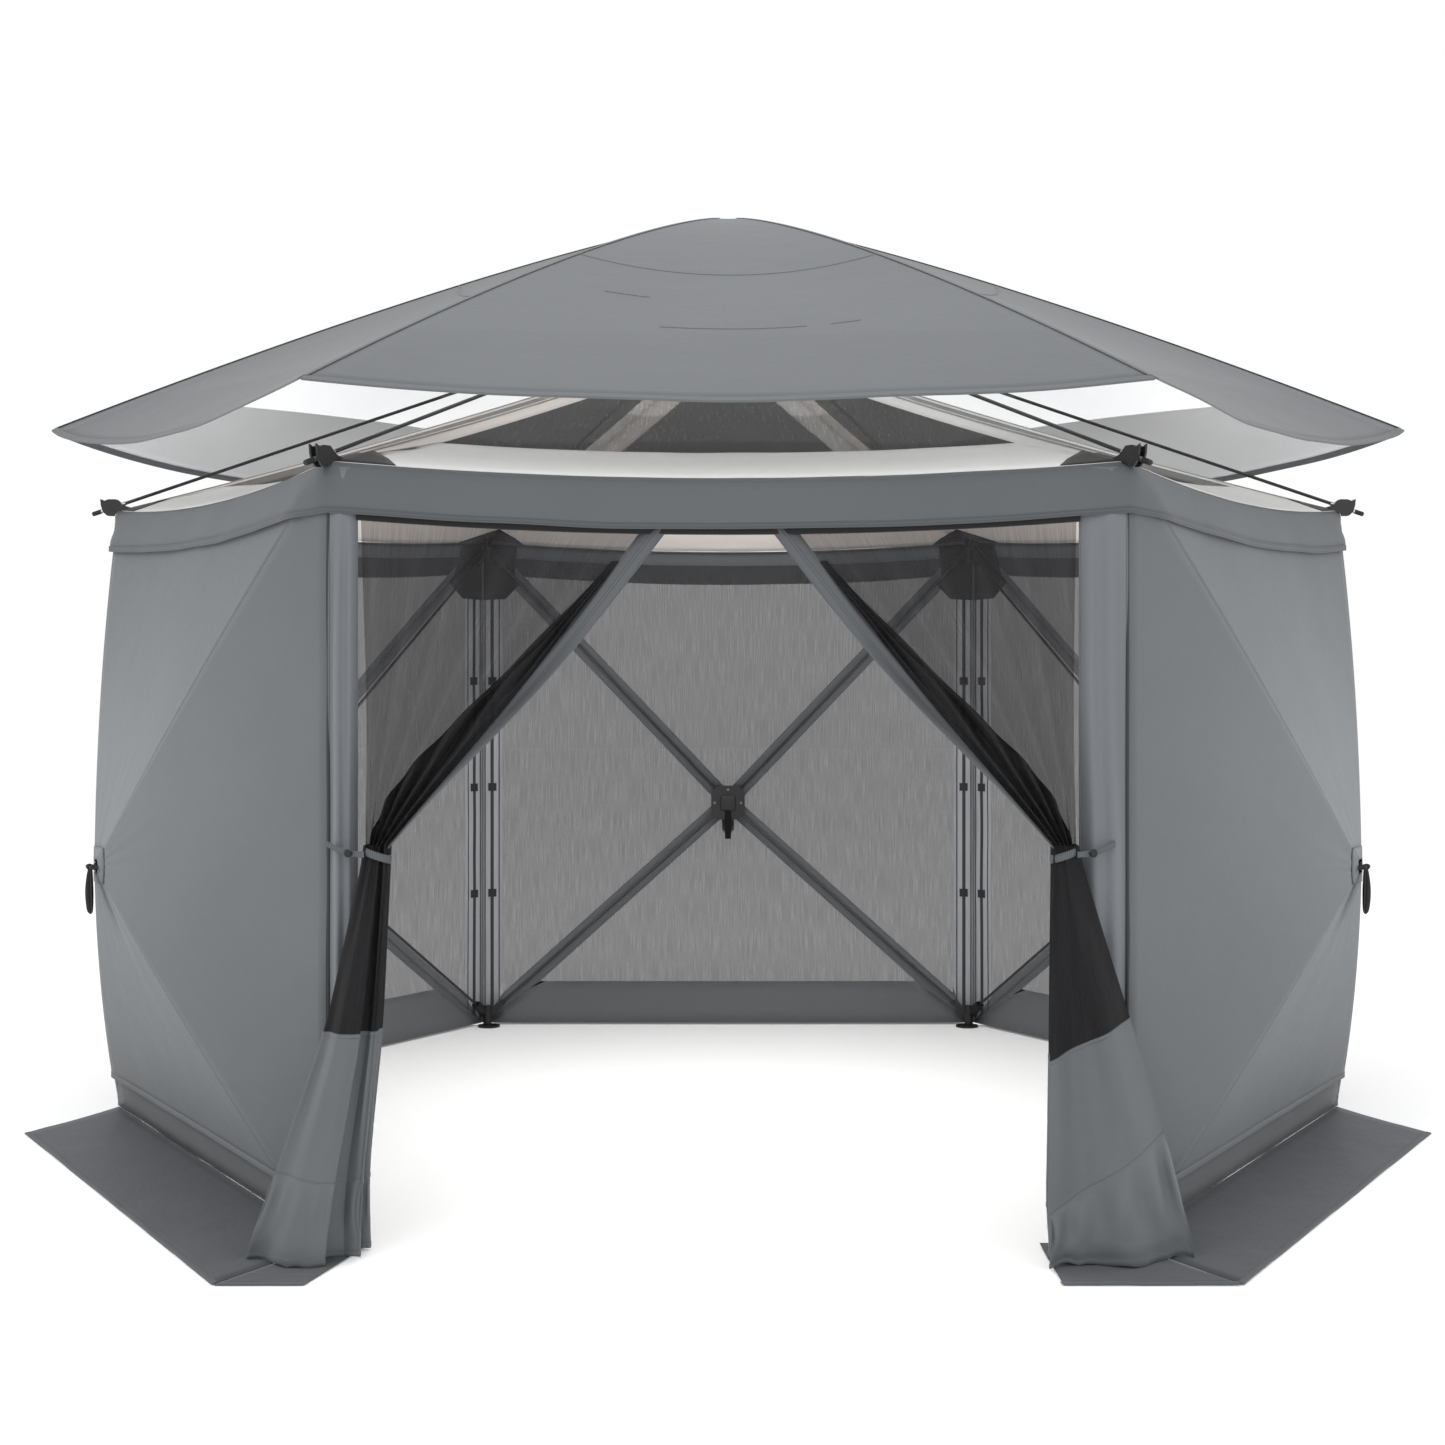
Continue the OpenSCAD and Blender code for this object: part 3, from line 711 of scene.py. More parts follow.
def wind_panel(wall, k, node):
    """Solid cloth hung over the netting, hemmed above the ground."""
    facets, peak = wall_facets(k)
    share = HEM_RISE / (HUB_Z - FOOT_Z)
    for name, (f, start) in facets.items():
        hold = ("hub_" + wall, start, peak)
        rim_a, rim_b = (0, 0), (f.rim, 0)
        hem_a, hem_b = f.on_ridge(0, share), f.on_ridge(1, share)
        left, right, hem = {
            "top": ([rim_a], [rim_b], None),
            "left": ([rim_a], [(f.rim - HEM_RISE, 0), hem_b], [(f.rim - HEM_RISE, 0), hem_b]),
            "bottom": ([hem_a], [hem_b], [hem_a, hem_b]),
            "right": ([(HEM_RISE, 0), hem_a], [rim_b], [hem_a, (HEM_RISE, 0)]),
        }[name]
        piece = Piece(f"{node}_{name}")
        f.ruled(piece, left + [f.on_ridge(0, PEAK_CUT)], right + [f.on_ridge(1, PEAK_CUT)], 40, 34, off=WIND_OUT)
        piece = bend(piece.object([WALL_CLOTH], thick=0.0014, facing=f.out), *hold, "wall_cloth")
        f.stated_area(piece, layers=2)
        if name == "top":
            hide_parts(node)
        if hem:
            count = 40 if name == "bottom" else 10
            path = [f.at(x, y, WIND_OUT + 0.0012)[0] for x, y in resample(hem, count)]
            sides = sides_of(path, [f.out] * len(path))
            bend(strip(f"{node}_hem_{name}", path, sides, f.out, 0.022, 0.0018, SEAM_GREY), *hold, "wall_cloth")


# ---------------------------------------------------------------- eave
def eave_sag(y):
    """How far the eave hangs below its corners, y along it from its middle."""
    return EAVE_SAG * (1 - (y / HALF) ** 2)


def wall_front_x(y, z, top_z, bulging):
    """How far the wall's cloth stands out of its plane at (y, z)."""
    if not bulging:
        return 0.0
    a = 1 - abs(y) / HALF
    b = (top_z - z) / (top_z - HUB_Z)
    soft = 0.012
    rounding = max(0.0, soft - abs(a - b)) / soft
    return BULGE * max(0.0, min(a, b) - rounding * rounding * soft / 4)


def valance_at(k, y, d):
    """A place on wall k's valance, d down from its top."""
    sag = max(0.0, eave_sag(y))
    corner = smooth_step(1 - abs(y) / HALF, 0.0, 0.12)
    down = d / VALANCE_H
    z = EAVE - sag - 0.001 - d
    x = VALANCE_OUT * smooth_step(d, -0.002, 0.012) + wall_front_x(y, z, WALL_TOP - sag, k != DOOR_WALL)
    wave = wave_noise(y * 3.2 + k * 7.1, d * 3.0, 0.4) * 0.006 + wave_noise(y * 9 + k, d * 5, 2.0) * 0.002
    x += corner * (wave * (0.25 + down) + 0.004 * math.sin(math.pi * down))
    x += 0.012 * corner * smooth_step(down)
    z -= corner * 0.004 * wave_noise(y * 4 + k * 2, 5.5) * down
    return x, y, z


def valance():
    """The grey band that hangs from the eave, sewn as one ring, with a hem painted dark as the shadow under the
    band.
    """
    rows_down, count = 8, 44
    columns, hem_path, hem_out = [], [], []
    run = 0.0
    for k in range(6):
        m = wall_matrix(k)
        for i in range(1 if k else 0, count + 1):
            y = (-1 + 2 * i / count) * (HALF + 0.0063)
            depths = [VALANCE_H * j / rows_down for j in range(rows_down + 1)]
            columns.append([(m @ Vector(valance_at(k, y, d)), (run, d, 0)) for d in depths])
            x, y, z = valance_at(k, y, VALANCE_H)
            hem_path.append(m @ Vector((x + 0.0012, y, z + 0.008)))
            hem_out.append(wall_out(k))
            run += 2 * HALF / count
    piece = Piece("valance_band")
    piece.patch(list(zip(*columns)))
    band = carry(piece.object([VALANCE_CLOTH], thick=0.0016), "tent")
    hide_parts("valance")
    # the hem's dark colour is painted shadow under the valance
    hem = carry(strip("valance_hem", hem_path, UP, hem_out, 0.016, 0.0016, VALANCE_HEM_AND_SHADOW), "tent")


# ---------------------------------------------------------------- roof
def canopy():
    """Six roof panels: netting windows in pale borders, white outside and beige inside."""
    peak = Vector((0, 0, CANOPY_PEAK - 0.001))
    rim, ridge, window_top = 0.258, 0.066, 0.80
    for k in range(6):
        a, b = around(SIDE, 60 * k, EAVE), around(SIDE, 60 * k + 60, EAVE)
        m = wall_matrix(k).inverted()
        f = Facet(a, b, peak, UP, -0.022, -0.55, lambda q, m=m: ((m @ q).y, (m @ q).x, 0),
                  sag=EAVE_SAG, ripple=0.004, seed=20 + k * 2.3)
        # a place just outside the rim, and the peak, passed with each piece to bend
        middle = (a + b) / 2
        hold = ("roof_hub", middle + (middle - peak) * 0.11, peak)
        top_y = window_top * f.rise
        a_in, b_in = f.from_ridge(0, rim, ridge), f.from_ridge(1, rim, ridge)
        a_up, b_up = f.from_ridge(0, top_y, ridge), f.from_ridge(1, top_y, ridge)
        a_out, b_out = f.on_ridge(0, window_top), f.on_ridge(1, window_top)
        net = Piece(f"roof_netting_{k + 1}")
        f.ruled(net, [a_in, a_up], [b_in, b_up], 26, 26)
        net = bend(net.object([ROOF_NETTING], facing=UP), *hold, "netting")
        solid = Piece(f"roof_border_{k + 1}")
        f.ruled(solid, [(0, 0), (f.rim, 0)], [a_in, b_in], 6, 36)
        f.ruled(solid, [(0, 0), a_out], [a_in, a_up], 3, 26)
        f.ruled(solid, [(f.rim, 0), b_out], [b_in, b_up], 3, 26)
        f.ruled(solid, [a_out, a_up, b_up, b_out], [f.on_ridge(0, 0.995), f.on_ridge(1, 0.995)], 7, 18)
        solid = bend(solid.object([ROOF_OUT, ROOF_IN], thick=0.0014, inner=1, facing=UP), *hold, "roof_cloth")
        patch = Piece(f"roof_corner_patch_{k + 1}")
        for end in (0, 1):
            sign, origin = (1, 0.0) if end == 0 else (-1, f.rim)
            inner = [f.on_ridge(end, 0.085), (origin + sign * 0.125, 0.060)]
            for off in (0.0016, -0.0016):
                f.ruled(patch, [(origin, 0.0), (origin + sign * 0.150, 0.0)], inner, 5, 5, off=off)
        patch = bend(patch.object([BLACK_CLOTH], thick=0.0010), *hold, "wall_cloth")
        path = [f.at(*f.on_ridge(0, t), off=0.001)[0] for t in np.linspace(0.06, 0.97, 30)]
        side = (path[-1] - path[0]).normalized().cross(UP).normalized()
        seam = bend(strip(f"roof_seam_{k + 1}", path, side, UP, 0.014, 0.0014, SEAM_PALE), *hold, "roof_cloth")
        if k == 0:
            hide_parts("roof_canopy")


def canopy_hanger():
    """Webbing that hangs the canopy's peak from the roof hub."""
    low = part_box("roof_hub")[0][2]
    path = [Vector((0, 0, lerp(CANOPY_PEAK - 0.004, low + 0.001, i / 8))) for i in range(9)]
    radii = [0.020, 0.018, 0.013, 0.011, 0.011, 0.011, 0.013, 0.018, 0.022]
    carry(tube("canopy_hanger", path, radii, WEBBING, 24), "roof_hub")


# ---------------------------------------------------------------- rain cover
def cover_corner(k):
    r, z = COVER_SIDE if k % 3 == 0 else COVER_FRONT
    return around(r, 60 * k, z)


def cover_at(k, s, t):
    """A place on cover panel k: s from its first corner to its second, t from the peak to the edge."""
    rim = lerp(cover_corner(k), cover_corner(k + 1), s)
    arc = 4 * s * (1 - s)
    if k % 3 == 1:
        droop = 0.046 * arc
    else:
        from_side = s if k % 3 == 0 else 1 - s
        droop = 0.074 * math.sin(math.pi * from_side ** 0.75)
    z = COVER_PEAK - (COVER_PEAK - rim.z) * t ** 1.24
    z -= 0.004 * max(0.0, 1 - t / 0.09) ** 2
    z -= droop * t ** 2.6
    z -= 0.020 * math.sin(math.pi * s) * math.sin(math.pi * min(1, t)) ** 1.5
    pull_in = 1 - 0.012 * arc * t
    x, y = rim.x * t * pull_in, rim.y * t * pull_in
    z += wave_noise(x * 1.7, y * 1.7, 4.2) * 0.006 * math.sin(math.pi * s) * smooth_step(t, 0.1, 0.6)
    z += wave_noise(s * 5 + k * 3, 1.0, 8.1) * 0.008 * arc * smooth_step(t, 0.7, 1.0)
    return Vector((x, y, z)), (x, y, 0)


def cover_slope(k, s, t):
    """A place on the cover and the way out of its cloth there."""
    ahead = cover_at(k, s, min(1.0, t + 0.01))[0] - cover_at(k, s, t - 0.01)[0]
    across = cover_at(k, min(1, s + 0.01), t)[0] - cover_at(k, max(0, s - 0.01), t)[0]
    n = ahead.cross(across).normalized()
    return cover_at(k, s, t)[0], (n if n.z > 0 else -n)


def rain_cover():
    """The six-panel cover, with its ridge seams, hem, crown seam and stitched arcs."""
    piece = Piece("rain_cover_cloth")
    across = 32
    steps = [0.0, 0.01, 0.02, 0.035, 0.05, 0.07, 0.09] + list(np.linspace(0.12, 1.0, 34))
    for k in range(6):
        rows = [[cover_at(k, i / across, t) for i in range(across + 1)] for t in steps[1:]]
        piece.patch(rows)
        piece.patch([[cover_at(k, 0.5, 0.0)] * (across + 1), rows[0]])
    cover = piece.object([COVER_CLOTH, COVER_IN], weld=5e-5, thick=0.0014, inner=1, facing=UP)
    carry(cover, "rain_cover")
    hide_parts("rain_cover")
    extras = []
    for k in range(6):
        path = [cover_slope(k, 0.0, t)[0] + UP * 0.0005 for t in np.linspace(0.03, 0.99, 48)]
        side = (path[-1] - path[0]).cross(UP).normalized()
        extras.append(strip(f"cover_ridge_seam_{k + 1}", path, side, UP, 0.015, 0.0018, SEAM_COVER))
        places = [cover_slope(k, s, 0.994) for s in np.linspace(0, 1, 41)]
        path = [place - UP * 0.0022 for place, _ in places]
        ups = [up for _, up in places]
        extras.append(strip(f"cover_hem_{k + 1}", path, sides_of(path, ups), ups, 0.024, 0.0044, SEAM_COVER))
    extras += cover_arcs()
    for piece in extras:
        carry(piece, "rain_cover")


def cover_arcs():
    """The seam round the cover's crown and the short stitched arcs on its front panel."""
    front = -math.pi / 2
    # name, radius, first and last angle, steps, width
    arcs = [("cover_crown_seam", 0.785, -math.pi, math.pi, 144, 0.0055),
            ("cover_stitch_1", 1.22, front - 0.135, front + 0.155, 20, 0.004),
            ("cover_stitch_2", 1.22, front + 0.205, front + 0.265, 8, 0.004),
            ("cover_stitch_3", 1.01, front - 0.310, front - 0.195, 10, 0.004)]
    made = []
    for name, radius, low, high, count, width in arcs:
        path, ups = [], []
        for i in range(count + 1):
            angle = low + (high - low) * i / count
            k = int(math.degrees(angle) % 360 // 60) % 6
            a, b = cover_corner(k), cover_corner(k + 1)
            way = Vector((math.cos(angle), math.sin(angle), 0))
            edge = b - a
            cross = way.x * edge.y - way.y * edge.x
            reach = (a.x * edge.y - a.y * edge.x) / cross
            s = (way.x * a.y - way.y * a.x) / -cross
            here, up = cover_slope(k, min(1, max(0, s)), radius / reach)
            path.append(here + up * 0.0006)
            ups.append(up)
        made.append(strip(name, path, sides_of(path, ups), ups, width, 0.0018, SEAM_COVER))
    return made


# ---------------------------------------------------------------- ground skirts
def skirt(node, outlines):
    """Ground flaps: each outline is four corners, inner edge first, in the wall's own frame or the ground's."""
    across, outward = 44, 10
    for i, (m, quad) in enumerate(outlines):
        corners = [Vector(corner) for corner in quad]
        along_y = abs(quad[0][1] - quad[3][1]) > 0.1
        rows = []
        for j in range(outward + 1):
            v = j / outward
            row = []
            for c in range(across + 1):
                inner = lerp(corners[0], corners[3], c / across)
                outer = lerp(corners[1], corners[2], c / across)
                place = m @ lerp(inner, outer, v)
                lift = 0.0016 + 0.004 * v * max(0.0, wave_noise(place.x * 4, place.y * 4, 1.0 + i))
                lift += 0.0035 * max(0.0, wave_noise(place.x * 9, place.y * 9, 6.0)) * v
                lift += 0.006 * (1 - v) ** 3
                row.append((place + UP * lift, (inner.y if along_y else inner.x, v * SKIRT_W, 0)))
            rows.append(row)
        piece = Piece(f"{node}_{i + 1}")
        piece.patch(rows)
        flap = carry(piece.object([SKIRT_CLOTH], thick=0.0014, facing=UP), "tent")
        if i == 0:
            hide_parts(node)
        path = [place + UP * 0.0004 for place, _ in rows[-1]]
        inward = sum((place for place, _ in rows[0]), Vector()) / (across + 1) - path[across // 2]
        inward.z = 0
        inward.normalize()
        path = [place + inward * 0.010 for place in path]
        hem = strip(f"{node}_hem_{i + 1}", path, inward, UP, 0.020, 0.0016, SEAM_SKIRT)
        carry(hem, "tent")


def flap_outline(cut_low, cut_high):
    return [(0.002, -HALF + 0.004, 0), (SKIRT_W, -HALF + cut_low, 0), (SKIRT_W, HALF - cut_high, 0),
            (0.002, HALF - 0.004, 0)]


def skirts():
    """A left and a right skirt, each round a front corner, and three flaps along the back."""
    mitre = SKIRT_W * math.tan(math.radians(30))
    inner, outer = -APOTHEM - 0.004, -APOTHEM - SKIRT_W
    for side, x, k in (("left", -1, 3), ("right", 1, 5)):
        cuts = (SKIRT_TAPER, 0.003 - mitre) if x < 0 else (0.003 - mitre, SKIRT_TAPER)
        front = [(x * (HALF - 0.004), inner, 0), (x * (HALF + mitre - 0.003), outer, 0),
                 (x * GAP_OUTER[side], outer, 0), (x * GAP_INNER[side], inner, 0)]
        skirt("skirt_" + side, [(wall_matrix(k), flap_outline(*cuts)), (Matrix.Identity(4), front)])
    ends = [(SKIRT_SIDE_TAPER, SKIRT_TAPER), (SKIRT_TAPER, SKIRT_TAPER), (SKIRT_TAPER, SKIRT_SIDE_TAPER)]
    skirt("skirt_back", [(wall_matrix(k), flap_outline(*cuts)) for k, cuts in enumerate(ends)])


# ---------------------------------------------------------------- door
# how far from the middle each leaf's free edge is at the eave
VEIL_TOP = {"left": -0.117, "right": 0.077}
VEIL_PLEATS = 6
# The gathered falls. outer and inner: each edge as (height, distance from the middle) places. seam and ruffle: the
# heights of the two seams across, at the outer and the inner edge. folds: where the cloth turns back on itself, from
# its back layer to its front one, 0 at the outer edge and 1 at the inner.
FALLS = {
    "left": {"outer": [(0.0, 1.055), (0.49, 0.887), (0.90, 0.800)],
             "inner": [(0.0, 0.794), (0.15, 0.798), (0.49, 0.768), (0.90, 0.752)],
             "seam": (0.485, 0.485), "ruffle": (0.185, 0.165), "ruffle_depth": 0.004,
             "folds": (0.35, 1.0, 0.06, 0.97, 0.0, 0.72), "skew": 0.02},
    "right": {"outer": [(0.0, 1.020), (0.27, 0.958), (0.51, 0.887), (0.90, 0.768)],
              "inner": [(0.0, 0.686), (0.10, 0.684), (0.43, 0.699), (0.90, 0.720)],
              "seam": (0.515, 0.430), "ruffle": (0.270, 0.110), "ruffle_depth": 0.012,
              "folds": (0.75, 0.06, 0.97, 0.10, 1.0, 0.0), "skew": 0.12},
}
CRINKLES = 15
GATHERS = 26


def pleat_depth(width, length, pleats):
    """How deep pleats must be for cloth `length` wide to fit in `width`."""
    low, high = 0.0, length / pleats
    for _ in range(30):
        mid = (low + high) / 2
        points = [(width / pleats * i / 24, mid * math.cos(2 * math.pi * i / 24)) for i in range(25)]
        arc = sum(math.dist(here, there) for here, there in zip(points, points[1:]))
        if arc * pleats < length:
            low = mid
        else:
            high = mid
    return (low + high) / 2


def veil_edges(name, x, v):
    """The outer and the inner edge of a leaf's netting, v of the way down from the eave to the tie."""
    plane = -APOTHEM + 0.010
    top_z = WALL_TOP - 0.004
    tie = Vector((x * TIE_X[name], -APOTHEM - TIE_OUT, TIE_TOP))
    outer_top = Vector((x * (HALF - JAMB_W[name] - 0.004), plane, top_z - 0.2 * EAVE_SAG))
    inner_top = Vector((VEIL_TOP[name], plane, top_z - EAVE_SAG))
    ease = v ** 1.05
    outer = lerp(outer_top, tie + Vector((x * 0.024, 0.004, 0)), ease)
    inner = lerp(inner_top, tie + Vector((-x * 0.024, -0.004, 0)), ease)
    inner.z -= 0.035 * math.sin(math.pi * v)
    inner.x += x * 0.012 * math.sin(math.pi * v)
    forward = smooth_step(v, 0.55, 1.0)
    outer.y = lerp(plane, tie.y + 0.004, forward)
    inner.y = lerp(plane, tie.y - 0.004, forward)
    return outer, inner


def door_flap(name, x):
    """A door leaf drawn aside: netting from the eave to the tie, then a gathered fall to the ground."""
    node = "door_flap_" + name
    down, across = 54, 96
    edges = [veil_edges(name, x, j / down) for j in range(down + 1)]
    runs = run_lengths([outer for outer, _ in edges])
    grid = []
    for j, (outer, inner) in enumerate(edges):
        v = j / down
        width = (inner - outer).length
        wanted = max(LEAF_W * (0.80 + 0.06 * v), width * 1.004)
        depth = min(0.036, pleat_depth(width, wanted, VEIL_PLEATS)) * smooth_step(v, 0.0, 0.10)
        row = []
        for i in range(across + 1):
            u = i / across
            turn = 2 * math.pi * VEIL_PLEATS * u + 0.7 + 0.8 * v + 0.5 * wave_noise(u * 3, v * 2, x * 5.0)
            fade = smooth_step(1 - u, 0.0, 0.08) * 0.8 + 0.2
            place = lerp(outer, inner, u) - FORWARD * depth * math.cos(turn) * fade
            place.z -= 0.030 * math.sin(math.pi * u) * math.sin(math.pi * v) ** 2
            if v == 0:
                place.z = WALL_TOP - 0.004 - eave_sag(place.x)
            row.append((place, (u * LEAF_W, runs[j], 0)))
        grid.append(row)
    veil = Piece(f"{node}_veil")
    veil.patch(grid)
    veil = carry(veil.object([DOOR_NETTING]), "tent")
    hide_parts(node)
    extras = [zip_edge(node, x, [row[-1][0] for row in grid]), veil_turnover(node, grid)]
    door_fall(node, name, x)


def veil_turnover(node, grid):
    """The netting that lies doubled along the free edge, wider and wider towards the tie."""
    grid = grid[len(grid) // 5:]
    last = len(grid[0]) - 1
    rows = []
    for j, line in enumerate(grid):
        v = j / (len(grid) - 1)
        share = 0.03 + 0.80 * v ** 1.6
        row = []
        for i in range(41):
            u = i / 40
            column = (1 - share * u) * last
            low = int(column)
            here, pattern = line[low]
            place = lerp(here, line[min(low + 1, last)][0], column - low)
            stand = 0.005 + 0.010 * math.sin(math.pi * v) * (0.6 + math.cos(2 * math.pi * (3 * u + v)))
            row.append((place + FORWARD * stand, (pattern[0] + 0.4, pattern[1], 0)))
        rows.append(row)
    piece = Piece(f"{node}_turned_over")
    piece.patch(rows)
    # painted shade: the doubled netting is darker than the leaf's own netting
    return carry(piece.object([LAYERED_NETTING_WITH_SHADE]), "tent")


def zip_edge(node, x, edge):
    """The solid grey band with the zip along the leaf's free edge, turning over on its way to the tie."""
    rows = []
    for j, (place, ahead, run) in enumerate(zip(edge, directions(edge), run_lengths(edge))):
        v = j / (len(edge) - 1)
        flat = Vector((-x * abs(ahead.z), 0, -abs(ahead.x))).normalized()
        twist = 0.25 + 1.1 * smooth_step(v, 0.25, 0.95)
        way = flat * math.cos(twist) + FORWARD * math.sin(twist)
        way = lerp(Vector((-x, 0, 0)), way, smooth_step(v, 0.0, 0.06)).normalized()
        width = lerp(0.050, 0.034, v)
        line = []
        for i in range(7):
            u = i / 6
            curl = 0.010 * math.sin(math.pi * u) * math.sin(3 * math.pi * v)
            line.append((place + way * width * u + FORWARD * curl, (u * 0.05 - 0.0265, run, 0)))
        rows.append(line)
    piece = Piece(f"{node}_zip_band")
    piece.patch(rows)
    return carry(piece.object([SEAM_BAND], thick=0.0016), "tent")


def door_track_shadow():
    """A near-black strip across the top of the doorway, just under the valance: a zip track, painted near-black as
    the shadow under the valance.
    """
    path = []
    for i in range(41):
        x = lerp(-HALF + JAMB_W["left"], HALF - JAMB_W["right"], i / 40)
        path.append(Vector((x, -APOTHEM - 0.001, EAVE - eave_sag(x) - VALANCE_H - 0.005)))
    carry(strip("door_track_shadow", path, UP, FORWARD, 0.014, 0.003, TRACK_AND_SHADOW), "tent")


def fold_share(folds, u):
    """Where across the fall the cloth's width u lies: 0 at the outer edge, 1 at the inner one."""
    phase = min(u, 0.9999) * (len(folds) - 1)
    i = int(phase)
    return lerp(folds[i], folds[i + 1], smooth_step(phase - i))


def edge_at(outline, z):
    """An outline's distance from the middle at height z, rounded off at its corners."""
    heights, places = zip(*outline)
    return sum(float(np.interp(z + dz, heights, places)) for dz in (-0.06, -0.02, 0.02, 0.06)) / 4


def fall_at(fall, x, u, z, crinkle):
    """A place on a gathered fall: u across the cloth's own width, from its back layer to its front one."""
    g = min(1.0, z / TIE_TOP)
    spread = 1 - g
    loose = smooth_step(u, 0.56, 0.66)
    share = fold_share(fall["folds"], u)
    sway = 0.04 * wave_noise(u * 3 + 3 * x, z * 2.0, 7.0) * spread
    px = lerp(edge_at(fall["outer"], z), edge_at(fall["inner"], z), share + sway)
    depth = 0.046 + 0.170 * spread ** 1.3
    py = -APOTHEM - TIE_OUT - 0.042 * spread + (0.5 - u) * depth - fall["skew"] * (share - 0.5) * spread
    turn = 2 * math.pi * CRINKLES * u + 1.5 * wave_noise(u * 4, z * 1.5, x * 9.0)
    crinkle *= lerp(1.3, 0.12, loose)
    py += crinkle * math.cos(turn)
    px += 0.3 * crinkle * math.sin(turn * 2)
    billow = math.sin(2 * math.pi * 1.3 * share + 1.0 + 2.0 * wave_noise(z * 1.3, x))
    py += 0.022 * loose * spread ** 0.7 * billow
    py += 0.010 * loose * wave_noise(share * 5 + 2 * x, z * 2.6, 3.0)
    low = 1 - smooth_step(z, 0.0, 0.10)
    py -= 0.024 * low * (0.4 + wave_noise(share * 4, 2.0 * x))
    pz = z + low * 0.014 * abs(wave_noise(share * 5, 5.0 * x))
    return Vector((x * px, py, pz)), (u * LEAF_W, TIE_Z - z, 0)


def ruffle_at(fall, x, u, v):
    """A place v of the way down the ruffle, which is gathered into the seam and opens under it."""
    depth = fall["ruffle_depth"]
    top = lerp(*fall["ruffle"], fold_share(fall["folds"], u))
    place, pattern = fall_at(fall, x, u, lerp(top, 0.004, v), depth * 0.5)
    gathers = math.cos(2 * math.pi * GATHERS * u + 2.5 * wave_noise(u * 9, x))
    place.y += depth * gathers * math.sin(math.pi * min(1.0, v * 1.4)) * (1 - 0.6 * v)
    place.y -= depth * 1.4 * math.sin(math.pi * min(1.0, v * 1.1)) ** 0.6
    return place, pattern


def door_fall(node, name, x):
    """The leaf under its tie: gathered netting, then the solid lower part with its ruffle on the ground."""
    fall = FALLS[name]
    count = 260
    levels = []
    for i in range(count + 1):
        share = fold_share(fall["folds"], i / count)
        levels.append((i / count, lerp(*fall["seam"], share), lerp(*fall["ruffle"], share)))
    net_rows = [[fall_at(fall, x, u, lerp(TIE_TOP, seam, j / 26), lerp(0.0125, 0.0090, j / 26))
                 for u, seam, _ in levels] for j in range(27)]
    cloth_rows = []
    for j in range(29):
        v = j / 28
        crinkle = lerp(0.0090, fall["ruffle_depth"] * 0.5, smooth_step(v))
        cloth_rows.append([fall_at(fall, x, u, lerp(seam, ruffle, v), crinkle) for u, seam, ruffle in levels])
    ruffle_rows = [[ruffle_at(fall, x, u, j / 20) for u, _, _ in levels] for j in range(1, 21)]
    net = Piece(f"{node}_gathered_netting_painted_shade")
    net.patch(net_rows)
    # painted shade: the gathered netting is darker than the leaf's own netting
    net = carry(net.object([LAYERED_NETTING_WITH_SHADE]), "tent")
    cloth = Piece(f"{node}_lower_cloth")
    cloth.patch(cloth_rows + ruffle_rows)
    cloth = carry(cloth.object([WALL_CLOTH], thick=0.0014), "tent")
    for label, row in (("upper_seam", cloth_rows[0]), ("ruffle_seam", cloth_rows[-1]), ("hem", ruffle_rows[-2])):
        path = [place for place, _ in row]
        ups = sides_of(path, [UP] * len(path))
        seam = strip(f"{node}_{label}", path, UP, ups, 0.010, 0.0030, SEAM_GREY, lift=-0.0015)
        carry(seam, "tent")


def door_jamb(name, x):
    """The soft grey band down the side of the doorway."""
    node = "door_jamb_" + name
    width = JAMB_W[name]
    top = WALL_TOP - 0.006
    rows = []
    for j in range(61):
        v = j / 60
        z = lerp(top, 0.010, v)
        waist = 0.006 * math.exp(-((z - TIE_Z) / 0.18) ** 2)
        row = []
        for i in range(31):
            u = i / 30
            arch = math.sin(math.pi * u)
            px = x * lerp(HALF - 0.001, HALF - width, u) + x * 0.006 * arch * wave_noise(z * 1.3, 3.0 * x)
            folds = math.sin(2 * math.pi * u * 2.2 + 2 * wave_noise(z * 0.8, x))
            roll = -0.012 * arch ** 0.7 + 0.0045 * folds * smooth_step(v, 0.02, 0.15)
            py = -APOTHEM - 0.001 + roll - waist * arch + 0.005 * wave_noise(u * 1.6 + 4 * x, z * 1.9, 2.0)
            row.append((Vector((px, py, z)), (u * width, z, 0)))
        rows.append(row)
    piece = Piece(node + "_band")
    piece.patch(rows)
    band = carry(piece.object([JAMB_CLOTH], thick=0.0014), "tent")
    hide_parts(node)
    for label, column in (("outer", 0), ("inner", -1)):
        edge = tube(f"{node}_{label}_edge", [row[column][0] for row in rows], 0.0028, SEAM_GREY, 8)
        carry(edge, "tent")


